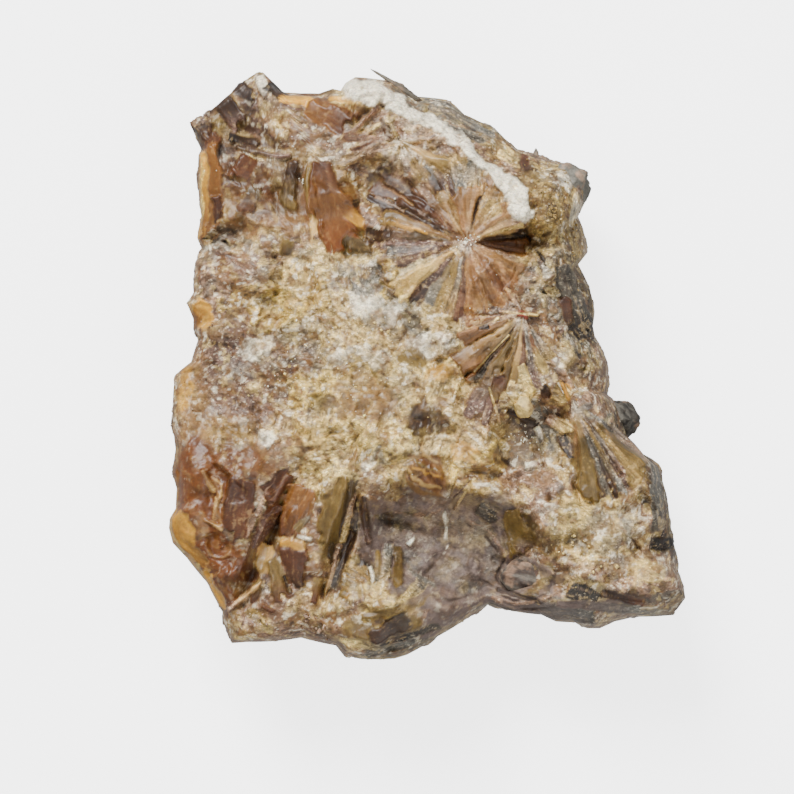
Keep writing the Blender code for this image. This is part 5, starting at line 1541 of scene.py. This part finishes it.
    def crystal(
        self, at: Array, level: Array, t: Array, part: Array, half: Array, far_half: float,
        length: float, sink: float, seed: int, mineral: Mineral, end: Mineral,
    ) -> None:
        """Lays one crystal on the points that its outline covers.

        Args:
            at: the points' numbers.
            level: height of its plane at each, in mm.
            t: place across it, from -1 to 1.
            part: place along it, from 0 to 1.
            half: half its width there, in mm.
            far_half: half its greatest width, in mm.
            length: its length, in mm.
            sink: how far it may lie under the face, in mm.
            seed: picks its laths.
            mineral: what its near end is.
            end: what its far end is.
        """
        rng = np.random.default_rng(self.seed + seed)
        ragged, waves, fine = self.ragged[at], self.waves[at], self.fine[at]
        across, along = t * half, part * length
        broad = min(1.0, far_half / 0.6)
        glass = mineral.value.clear * broad
        grit = (0.15 + mineral.value.grainy) * (1 - 0.45 * glass)
        count = max(2, int(2 * far_half / self.lath_mm))
        cuts = np.sort(rng.uniform(-0.95, 0.95, count - 1))
        lath = np.searchsorted(cuts, t)
        levels, shades = rng.normal(0, self.step, count), rng.lognormal(0, 0.08, count)
        stops = 1 - rng.uniform(0, 0.20, count) * broad
        ends = np.minimum((stops[lath] - part) * length + 0.30 * broad * ragged, along + 0.2)
        corner = 0.22 * broad + 0.02
        rim = -corner * np.logaddexp(-(1 - np.abs(t)) * half / corner, -ends / corner)
        rim = rim + 0.4 * corner + broad * (0.14 * ragged + 0.03 * fine)
        share = np.clip(rim / (0.05 + 0.09 * broad + 0.05 * glass), 0, 1)
        streak = fractal(np.stack([across * 3.6, along * 0.35], axis=1), 1.0, 4, seed % 97)
        thread = fractal(np.stack([across * 6.0, along * 0.7], axis=1), 1.0, 3, 100 + seed % 89)
        plane = level + levels[lath] + 0.02 * streak + 0.06 * waves
        plane = plane - 0.16 * broad * np.exp(-((rim / 0.14) ** 2))
        plane = np.clip(plane, self.z[at] - 0.25 - sink, self.z[at] + 0.9)
        self.z[at] += (plane - self.z[at]) * share
        self.ground.lay(mineral, share, at)
        self.ground.lay(end, share * np.clip(part * 1.5 - 0.35 + 0.3 * waves, 0, 1), at)
        shade = shades[lath] * (1 + (0.05 + 0.16 * grit) * streak + 0.16 * waves)
        self.ground.tone[at] *= (1 + (shade - 1) * share)[:, None]
        veil = glass * share * (0.22 * waves + 0.10 * ragged - 0.04)
        self.ground.tone[at] *= 1 + veil[:, None] * VEIL
        shadow = np.exp(-((rim / 0.08) ** 2)) * np.clip(-0.15 - 1.2 * ragged, 0, 0.7)
        shadow = np.maximum(shadow, grit * np.clip((-thread - 0.40) / 0.4, 0, 0.7))
        self.ground.lay(SMOKY, shadow * share, at)
        crust = np.exp(-((rim / 0.14) ** 2)) * np.clip(0.05 + 1.3 * ragged, 0, 1) * 0.75 * broad
        crust = np.maximum(crust, grit * np.clip((thread - 0.40) / 0.4, 0, 0.5))
        dust = np.clip((fine + 0.9 * waves + 0.4 * ragged - 1.1) / 0.5, 0, 0.6)
        crust = np.maximum(crust, (0.15 + grit) * dust)
        self.ground.tone[at] *= (1 + 1.1 * crust * share)[:, None]
        self.ground.lay(PINK, 0.55 * crust * share, at)
        self.ground.lay(CREAM, 0.4 * crust * share * (fine > 0.1), at)


@dataclass
class BackSkin:
    """The sides below the rim and the broken back, as one closed shell.

    Rings go down the sides from just under the rim, then inward over the back to one
    point. The back is cut level at z = 0. A lip and a fan close the shell inside the
    lump. shake is how far the sides wander, and block_push how far the small blocks
    stand out. Lengths are in mm.
    """

    columns: int = 760
    side_rings: int = 64
    back_rings: int = 54
    under_rim: float = 0.4
    rim_share: float = 0.992
    block_size: float = 5.0
    shake: float = 1.3
    shake_mm: float = 7.0
    block_push: float = 0.28
    side_sink: float = 0.25
    inside_height: float = 3.0

    def build(self) -> Surface:
        """Makes the rings, roughens them and colours them.

        Returns:
            The closed shell.
        """
        bearing = np.linspace(-math.pi, math.pi, self.columns, endpoint=False)
        side = np.linspace(0.02, 1, self.side_rings)
        inner = np.linspace(1, 0.012, self.back_rings + 1)[1:]
        depth = np.concatenate([side, np.ones(self.back_rings)])[:, None]
        share = np.concatenate([np.ones(self.side_rings), inner])[:, None]
        bearing = np.broadcast_to(bearing, (len(depth), self.columns))
        rim = FORM.shoulder(bearing)[1] - self.under_rim
        taper = self.rim_share - (1 - FORM.base_share) * depth**1.1
        reach = share * FORM.edge_radius(bearing) * taper
        x, y = (reach * np.cos(bearing)).ravel(), (reach * np.sin(bearing)).ravel()
        depth = np.broadcast_to(depth, bearing.shape).ravel()
        share = np.broadcast_to(share, bearing.shape).ravel()
        rim = rim.ravel()
        flat = np.stack([x, y, np.zeros_like(x)], axis=1)
        base = -0.8 + 2.6 * share**4 + 1.5 * solid_fractal(flat, 9.0, 2, FORM.seed + 30)
        base += 0.5 * crystal_blocks(x, y, self.block_size, FORM.seed + 60).level
        z = rim + (base - rim) * depth**0.8
        points = np.stack([x, y, z], axis=1)
        shake = self.shake * np.sin(math.pi * depth**0.7)
        for axis in (0, 1):
            seed = FORM.seed + 10 + 10 * axis
            points[:, axis] += shake * solid_fractal(points, self.shake_mm, 3, seed)
        around = np.arctan2(y, x) * 22
        blocks = crystal_blocks(around, points[:, 2] + reach.ravel() * (depth > 0.99), 1.6, 3)
        outward = np.stack([np.cos(bearing.ravel()), np.sin(bearing.ravel())], axis=1)
        push = self.block_push * blocks.level + 0.12 * fractal(points, 1.2, 3, 60)
        on_side = (depth < 0.999)[:, None]
        points[:, :2] += np.where(on_side, outward * (push - self.side_sink)[:, None], 0)
        points[:, 2] += np.where(on_side[:, 0], 0, push)
        points[:, 2] = np.maximum(points[:, 2], 0.0)
        tone, rough, clear = self.colours(points, blocks)
        lip = points[: self.columns] * (0.8, 0.8, 1) - (0, 0, 2)
        points = np.concatenate([lip, points])
        tone = np.concatenate([tone[: self.columns], tone])
        rough, clear = (np.concatenate([a[: self.columns], a]) for a in (rough, clear))
        count = len(points)
        points = np.concatenate([points, [[0, 0, self.inside_height], [0, 0, 0.0]]])
        first = np.arange(self.columns)
        final = first + count - self.columns
        tris = np.concatenate([
            np.stack([first, np.roll(first, -1), np.full(self.columns, count)], axis=1),
            np.stack([np.roll(final, -1), final, np.full(self.columns, count + 1)], axis=1),
        ])
        quads = grid_quads(self.side_rings + self.back_rings + 1, self.columns, wrap=True)[:, ::-1]
        pad = lambda a, value: np.append(a, [value, value])
        return Surface(
            points, quads, tris, np.concatenate([tone, tone[-2:]]), pad(rough, 0.7),
            pad(clear, 0.0), pad(np.full(count, 0.7), 0.7),
        )

    def colours(self, points: Array, blocks: Blocks) -> tuple[Array, Array, Array]:
        """Grey-brown clay with ochre and amber seams and a thin cream crust.

        Args:
            points: the points, in mm.
            blocks: the small blocks under them.

        Returns:
            The points' tone, roughness and clearness.
        """
        noise = fractal(points * (1, 1, 2.2), 5.0, 4, 91)
        clay = SHALE.tone + (CLAY.tone - SHALE.tone) * 0.5
        tone = np.tile(clay, (len(points), 1))
        seams = (DARK_SHALE, 0.15, 0.6), (OCHRE, -0.45, -0.10), (AMBER, -0.9, -0.5)
        for mineral, low, high in seams:
            share = np.clip((noise - low) / (high - low), 0, 1)
            share = share if low > 0 else np.clip((high - noise) / (high - low), 0, 1)
            tone += (mineral.tone - tone) * (0.7 * share)[:, None]
        fine = fractal(points, 1.1, 4, 92)
        tone += (CREAM.tone - tone) * np.clip(fine - 0.25, 0, 0.35)[:, None]
        tone *= (1.25 + 0.30 * blocks.value + 0.35 * fine)[:, None]
        return np.clip(tone, 0.005, 0.9), np.full(len(points), 0.72), np.full(len(points), 0.1)


# ---- grains


@dataclass(frozen=True)
class GrainField:
    """An oval strewn with small crystals of one mineral: how many, and their size in mm."""

    mineral: Mineral
    x: float
    y: float
    length: float
    width: float
    heading: float
    count: int
    size: float


GRAINS = tuple(GrainField(*row) for row in (
    # The white grains of the centre and of the grey pocket at (9.6, -7.5) are small white crystals
    # that also stand for glints: partly painted highlights.
    (WHITE, -7, -0.6, 12, 10, -30, 260, 0.12), (CREAM, -8, 1, 11, 9, -20, 240, 0.19),
    (PINK, -18.9, -0.6, 6, 9, 60, 240, 0.17), (CREAM, 17.1, -17.6, 6, 4.5, -20, 200, 0.19),
    (WHITE, 9.6, -7.5, 4, 3.6, 0, 60, 0.11), (OCHRE, 12.1, 15.4, 4, 5, 0, 200, 0.24),
    (WHITE, 3.6, 12.2, 1.2, 1, 0, 60, 0.15), (PINK, -14.9, -26.1, 6, 1.6, 0, 160, 0.22),
    (WHITE, -12.9, 18.4, 10, 7, 0, 70, 0.13),
))


@dataclass
class Grains:
    """Small angular crystals: boxes with shaken corners, turned any way and half sunk."""

    seed: int = 60

    def build(self, fields: tuple[GrainField, ...]) -> Surface:
        """Strews each field's grains, thickest in its middle and in drifts.

        Args:
            fields: the fields.

        Returns:
            All of the grains as one surface.
        """
        rng = np.random.default_rng(self.seed)
        parts = []
        for field in fields:
            radius = 0.62 * np.abs(rng.normal(0, 1, field.count))
            angle = rng.uniform(0, 2 * math.pi, field.count)
            along = field.length * radius * np.cos(angle)
            across = field.width * radius * np.sin(angle)
            turn = math.radians(field.heading)
            x = field.x + along * math.cos(turn) - across * math.sin(turn)
            y = field.y + along * math.sin(turn) + across * math.cos(turn)
            inside = FORM.edge_radius(np.arctan2(y, x)) - np.hypot(x, y) > 0.5
            inside &= fractal(np.stack([x, y], axis=1), 3.0, 3, 17) > rng.normal(0.1, 0.25, len(x))
            x, y = x[inside], y[inside]
            parts.append(self.boxes(x, y, FORM.top(x, y), field.mineral, field.size, rng))
        return Surface.joined(parts)

    def boxes(
        self, x: Array, y: Array, z: Array, mineral: Mineral, size: float,
        rng: np.random.Generator,
    ) -> Surface:
        """One shaken box for each place.

        Args:
            x: places along X, in mm.
            y: places along Y, in mm.
            z: the surface's height there, in mm.
            mineral: what the grains are.
            size: their middling length, in mm.
            rng: the source of chance.

        Returns:
            The boxes as one surface.
        """
        count = len(x)
        corner = np.array([(a, b, c) for a in (-1, 1) for b in (-1, 1) for c in (-1, 1)])
        scale = size * rng.lognormal(0, 0.3, (count, 1)) * rng.uniform(0.35, 1.0, (count, 3)) / 2
        local = corner[None] * scale[:, None, :] * rng.uniform(0.65, 1.15, (count, 8, 3))
        axis = rng.normal(0, 1, (count, 4))
        axis /= np.linalg.norm(axis, axis=1, keepdims=True)
        points = turned(local, axis)
        points += np.stack([x, y, z + 0.05 * size], axis=1)[:, None, :]
        faces = np.array([
            (0, 1, 3, 2), (4, 6, 7, 5), (0, 4, 5, 1), (2, 3, 7, 6), (0, 2, 6, 4), (1, 5, 7, 3),
        ])
        quads = (np.arange(count)[:, None, None] * 8 + faces[None]).reshape(-1, 4)
        shade = rng.lognormal(0, 0.22, (count, 1)) * np.ones((1, 8))
        tone = np.clip(mineral.tone[None, None] * shade[..., None], 0.005, 0.95)
        look = mineral.value
        flat = lambda value: np.full(count * 8, value)
        return Surface(
            points.reshape(-1, 3), quads, np.zeros((0, 3), int), tone.reshape(-1, 3),
            flat(look.rough), flat(look.clear), flat(look.grainy),
        )


def turned(local: Array, quaternion: Array) -> Array:
    """Turns each group of points by a unit quaternion of its own.

    Args:
        local: groups of points about the origin.
        quaternion: each group's turn, as w, x, y and z.

    Returns:
        The turned points.
    """
    w = quaternion[:, None, :1]
    axis = np.broadcast_to(quaternion[:, None, 1:], local.shape)
    across = 2 * np.cross(axis, local)
    return local + w * across + np.cross(axis, across)


# ---- knobs and splinters


@dataclass(frozen=True)
class Knob:
    """A lump that stands out of the skin: centre, half sizes and heading (mm, degrees).

    taper is how much thinner its far end is, from 0 to 1.
    """

    x: float
    y: float
    z: float
    length: float
    width: float
    height: float
    heading: float
    mineral: Mineral
    taper: float = 0.0


KNOBS = tuple(Knob(*row) for row in (
    (19.4, -5.4, 9, 2.25, 1.95, 2.65, -50, DARK_SHALE),
    (9.9, -21.5, 11.3, 2.9, 1.6, 1.5, -12, DARK_CLAY),
    (13.8, 17.8, 11.4, 2.45, 2.2, 2.4, 40, GREY), (9.3, -4.2, 16.2, 0.95, 1.15, 1.2, 10, CREAM),
    (-3.5, 28.35, 12.1, 3, 0.42, 0.42, 146.6, SHALE, 0.75),
    (-23.5, 5.8, 12.9, 1.1, 0.6, 0.5, 157, HONEY, 0.5),
    (10.9, 21.2, 8.7, 0.9, 0.45, 0.4, 82, SHALE, 0.5),
))


@dataclass
class Knobs:
    """Rough lumps: balls pressed to their sizes, broken by flats and ragged with noise."""

    rows: int = 40
    columns: int = 72
    flats: int = 18
    swell: float = 0.14
    furrow: float = 0.07

    def build(self, knobs: tuple[Knob, ...]) -> Surface:
        """All of the knobs as one surface."""
        return Surface.joined([self.ball(knob, 500 + 10 * k) for k, knob in enumerate(knobs)])

    def ball(self, knob: Knob, seed: int) -> Surface:
        """One knob, as rings from its top to its foot, closed by a fan at each end.

        Args:
            knob: its place, sizes and mineral.
            seed: picks its flats and its noise.

        Returns:
            The closed surface.
        """
        around = np.linspace(0, 2 * math.pi, self.columns, endpoint=False)
        down = np.linspace(0, math.pi, self.rows + 2)[1:-1]
        around, down = np.meshgrid(around, down)
        level = np.sin(down)
        unit = np.stack([level * np.cos(around), level * np.sin(around), np.cos(down)], -1)
        unit = np.concatenate([unit.reshape(-1, 3), [[0, 0, 1.0], [0, 0, -1.0]]])
        rng = np.random.default_rng(seed)
        flats = rng.normal(0, 1, (self.flats, 3))
        flats /= np.linalg.norm(flats, axis=1, keepdims=True)
        reach = rng.uniform(0.80, 1.0, self.flats) / np.maximum(unit @ flats.T, 0.05)
        size = np.array([knob.length, knob.width, knob.height])
        place = unit * size * np.minimum(reach.min(axis=1), 1.08)[:, None]
        swell = self.swell * fractal(place + seed, 1.7, 5, seed)
        swell += self.furrow * fractal(place * (0.4, 1.4, 2.2), 0.8, 3, seed)
        turn = math.radians(knob.heading)
        local = place * (1 + swell[:, None])
        local[:, 1:] *= (1 - knob.taper * 0.5 * (1 + place[:, 0] / knob.length))[:, None]
        x = knob.x + local[:, 0] * math.cos(turn) - local[:, 1] * math.sin(turn)
        y = knob.y + local[:, 0] * math.sin(turn) + local[:, 1] * math.cos(turn)
        count = self.rows * self.columns
        first = np.arange(self.columns)
        last = first + count - self.columns
        tris = np.concatenate([
            np.stack([np.full(self.columns, count), first, np.roll(first, -1)], axis=1),
            np.stack([np.full(self.columns, count + 1), np.roll(last, -1), last], axis=1),
        ])
        points = np.stack([x, y, knob.z + local[:, 2]], axis=1)
        tone = np.tile(knob.mineral.tone, (len(points), 1))
        layer = fractal(local * (0.5, 1.6, 2.4), 1.1, 5, seed + 3)
        tone += (GREY.tone - tone) * np.clip(0.20 + 0.5 * layer, 0, 0.45)[:, None]
        crust = fractal(local, 0.9, 5, seed + 4)
        tone += (PINK.tone - tone) * np.clip(crust * 1.5 - 0.3, 0, 0.6)[:, None]
        tone *= (1.05 + 0.30 * layer + 0.20 * crust)[:, None]
        look = knob.mineral.value
        flat = lambda value: np.full(len(points), value)
        return Surface(
            points, grid_quads(self.rows, self.columns, wrap=True), tris,
            np.clip(tone, 0.004, 0.92), flat(look.rough), flat(0.2 * look.clear), flat(0.45),
        )


# ---- finishes


@dataclass(frozen=True)
class GypsumFinish:
    """Gypsum and clay: colour, gloss and clearness come with each piece's points.

    Clear crystal lets light in and scatters it a little way, chalky grains hardly do, and
    fine noise of about a tenth of a millimetre mottles and roughens all of it.
    """

    name: str
    ior: float = 1.52
    mottle_mm: float = 0.35
    sugar_mm: float = 0.22
    wobble_mm: float = 0.3
    sugar_shade: float = 0.40
    fleck: tuple[float, float, float] = (0.42, 0.36, 0.26)
    bump: float = 0.25
    bump_mm: float = 0.12
    scatter: float = 0.4
    scatter_mm: float = 0.6
    scatter_reach: tuple[float, float, float] = (1.0, 0.62, 0.32)
    sheen: float = 0.38

    def make(self) -> bpy.types.Material:
        """Builds the node material.

        Returns:
            The material: the points' tone, mottled and sugared, with pale flecks.
        """
        material = bpy.data.materials.new(self.name)
        material.use_nodes = True
        tree = material.node_tree
        add = partial(node, tree)
        maths = lambda operation, *inputs: add("Math", *inputs, operation=operation).outputs[0]
        mixed = lambda operation, *inputs: (
            add("VectorMath", *inputs, operation=operation).outputs[0]
        )
        ranged = lambda *inputs, clamp=True: add("MapRange", *inputs, clamp=clamp).outputs[0]
        held = lambda label: add("Attribute", attribute_name=label).outputs
        grain = held("grain")["Fac"]
        place = add("TexCoord").outputs["Object"]

        # The mottle shades and roughens every point, most where it is grainy.
        mottle = add(
            "TexNoise", place, Scale=1 / (self.mottle_mm * MM), Detail=5.0, Roughness=0.65
        ).outputs
        centred = ranged(mottle["Fac"], 0.25, 0.75, -0.38, 0.38, clamp=False)
        spread = maths("MULTIPLY_ADD", centred, ranged(grain, 0.0, 1.0, 0.12, 1.0), 1.0)
        tone = mixed("MULTIPLY", held("tone")["Color"], spread)

        # Sugary grains, drawn out a little and leaning, each a shade of its own.
        wobble = mixed("MULTIPLY_ADD", mottle["Color"], (self.wobble_mm * MM,) * 3, place)
        leaning = add("Mapping", wobble, Rotation=(0.3, 0.2, 0.6), Scale=(0.9, 1.35, 1.0))
        sugar = add(
            "TexVoronoi", leaning.outputs["Vector"], Scale=1 / (self.sugar_mm * MM), Randomness=1.0
        )
        light = add("SeparateXYZ", sugar.outputs["Color"]).outputs
        shade = ranged(light["X"], 0.0, 1.0, -self.sugar_shade, self.sugar_shade)
        tone = mixed("MULTIPLY", tone, maths("MULTIPLY_ADD", shade, grain, 1.0))

        # Pale flecks, on the grainiest ground alone.
        broken = maths("MULTIPLY_ADD", light["Y"], 0.55, mottle["Fac"])
        fleck = ranged(broken, 0.98, 1.12, 0.0, ranged(grain, 0.45, 1.0, 0.0, 1.0))
        tone = mixed("MULTIPLY_ADD", fleck, self.fleck, tone)

        strength = ranged(grain, 0.0, 1.0, 0.1 * self.bump, 1.3 * self.bump)
        bump = add("Bump", Distance=self.bump_mm * MM, Height=mottle["Fac"], Strength=strength)
        shader = tree.nodes["Principled BSDF"].inputs
        shader["IOR"].default_value = self.ior
        shader["Specular IOR Level"].default_value = self.sheen
        shader["Subsurface Radius"].default_value = self.scatter_reach
        shader["Subsurface Scale"].default_value = self.scatter_mm * MM
        for label, value in (
            ("Base Color", tone),
            ("Roughness", maths("MULTIPLY", held("rough")["Fac"], spread)),
            ("Subsurface Weight", maths("MULTIPLY", held("clear")["Fac"], self.scatter)),
            ("Normal", bump.outputs["Normal"]),
        ):
            tree.links.new(value, shader[label])
        return material


def node(
    tree: bpy.types.NodeTree, kind: str, *inputs: object, **settings: object
) -> bpy.types.Node:
    """Adds a node, with what feeds it and its settings.

    Args:
        tree: the material's node tree.
        kind: the shader node's type.
        inputs: sockets or plain values for its inputs, from the first on.
        settings: the same by input name, or properties of the node.

    Returns:
        The new node.
    """
    made = tree.nodes.new(f"ShaderNode{kind}")
    for label, value in [*enumerate(inputs), *settings.items()]:
        if isinstance(label, str) and label not in made.inputs:
            setattr(made, label, value)
        elif isinstance(value, bpy.types.NodeSocket):
            tree.links.new(value, made.inputs[label])
        else:
            made.inputs[label].default_value = value
    return made


# ---- studio


@dataclass
class Studio:
    """A pale floor, soft light from above the specimen's top, and a long lens.

    aim is the point that the camera looks straight down on, span how wide it sees there,
    and height how far over face_level it stands (mm). The floor lies floor_gap (m) lower
    than the back, glows a little and throws no light on the specimen.
    """

    aim: tuple[float, float] = (-3.25, -3.25)
    span: float = 79.4
    height: float = 380.0
    face_level: float = 16.0
    floor_half: float = 2.0
    floor_gap: float = 0.0002
    floor_grey: float = 0.93
    floor_glow: float = 3.0
    sky: tuple[float, float, float, float] = (0.95, 0.97, 1, 1)
    sky_strength: float = 0.60

    def floor(self) -> None:
        """Lays a plain pale floor under the specimen."""
        far = self.floor_half
        mesh = bpy.data.meshes.new("floor")
        corners = [(-far, -far, 0), (far, -far, 0), (far, far, 0), (-far, far, 0)]
        mesh.from_pydata(corners, [], [(0, 1, 2, 3)])
        obj = bpy.data.objects.new("floor", mesh)
        material = bpy.data.materials.new("floor_paper")
        material.use_nodes = True
        shader = material.node_tree.nodes["Principled BSDF"].inputs
        shader["Base Color"].default_value = (*(self.floor_grey,) * 3, 1)
        shader["Roughness"].default_value = 0.9
        shader["Emission Color"].default_value = (1, 1, 1, 1)
        shader["Emission Strength"].default_value = self.floor_glow
        mesh.materials.append(material)
        bpy.context.scene.collection.objects.link(obj)
        obj.location.z = -self.floor_gap
        obj.visible_diffuse = obj.visible_glossy = False

    def lamp(
        self, name: str, place: tuple[float, float, float], size: float, power: float
    ) -> None:
        """Hangs a square soft light that faces the specimen.

        Args:
            name: its name.
            place: where it hangs, in m.
            size: length of its side, in m.
            power: its power, in watts.
        """
        data = bpy.data.lights.new(name, "AREA")
        data.size = size
        data.energy = power
        obj = bpy.data.objects.new(name, data)
        obj.location = place
        facing = Vector((0, 0, 0.01)) - Vector(place)
        obj.rotation_euler = facing.to_track_quat("-Z", "Y").to_euler()
        bpy.context.scene.collection.objects.link(obj)

    def build(self) -> None:
        """Sets floor, lights, surroundings and camera."""
        self.floor()
        self.lamp("key", (-0.18, 0.42, 0.42), 0.26, 7.6)
        self.lamp("fill", (0.20, -0.30, 0.42), 0.40, 1.5)
        world = bpy.data.worlds.new("studio")
        world.use_nodes = True
        sky = world.node_tree.nodes["Background"].inputs
        sky["Color"].default_value = self.sky
        sky["Strength"].default_value = self.sky_strength
        bpy.context.scene.world = world
        camera = bpy.data.cameras.new("camera")
        camera.lens = camera.sensor_width * self.height / self.span
        camera.clip_start = 0.01
        obj = bpy.data.objects.new("camera", camera)
        over = self.height + self.face_level
        obj.location = (self.aim[0] * MM, self.aim[1] * MM, over * MM)
        bpy.context.scene.collection.objects.link(obj)
        bpy.context.scene.camera = obj


def main() -> None:
    """Builds every piece of the specimen and the studio round it."""
    logging.basicConfig(level=logging.INFO, format="%(message)s")
    mass = GypsumFinish("gypsum_and_clay").make()
    corners = ("lower_left", "lower_right", "upper_left", "upper_right")
    for corner, surface in zip(corners, FaceSkin().build()):
        surface.to_object(f"face_{corner}", mass, smooth=True)
    BackSkin().build().to_object("back_skin", mass, smooth=False)
    Grains().build(GRAINS).to_object("grains", mass, smooth=False)
    Knobs().build(KNOBS).to_object("knobs", mass, smooth=True)
    Studio().build()


if __name__ == "__main__":
    main()
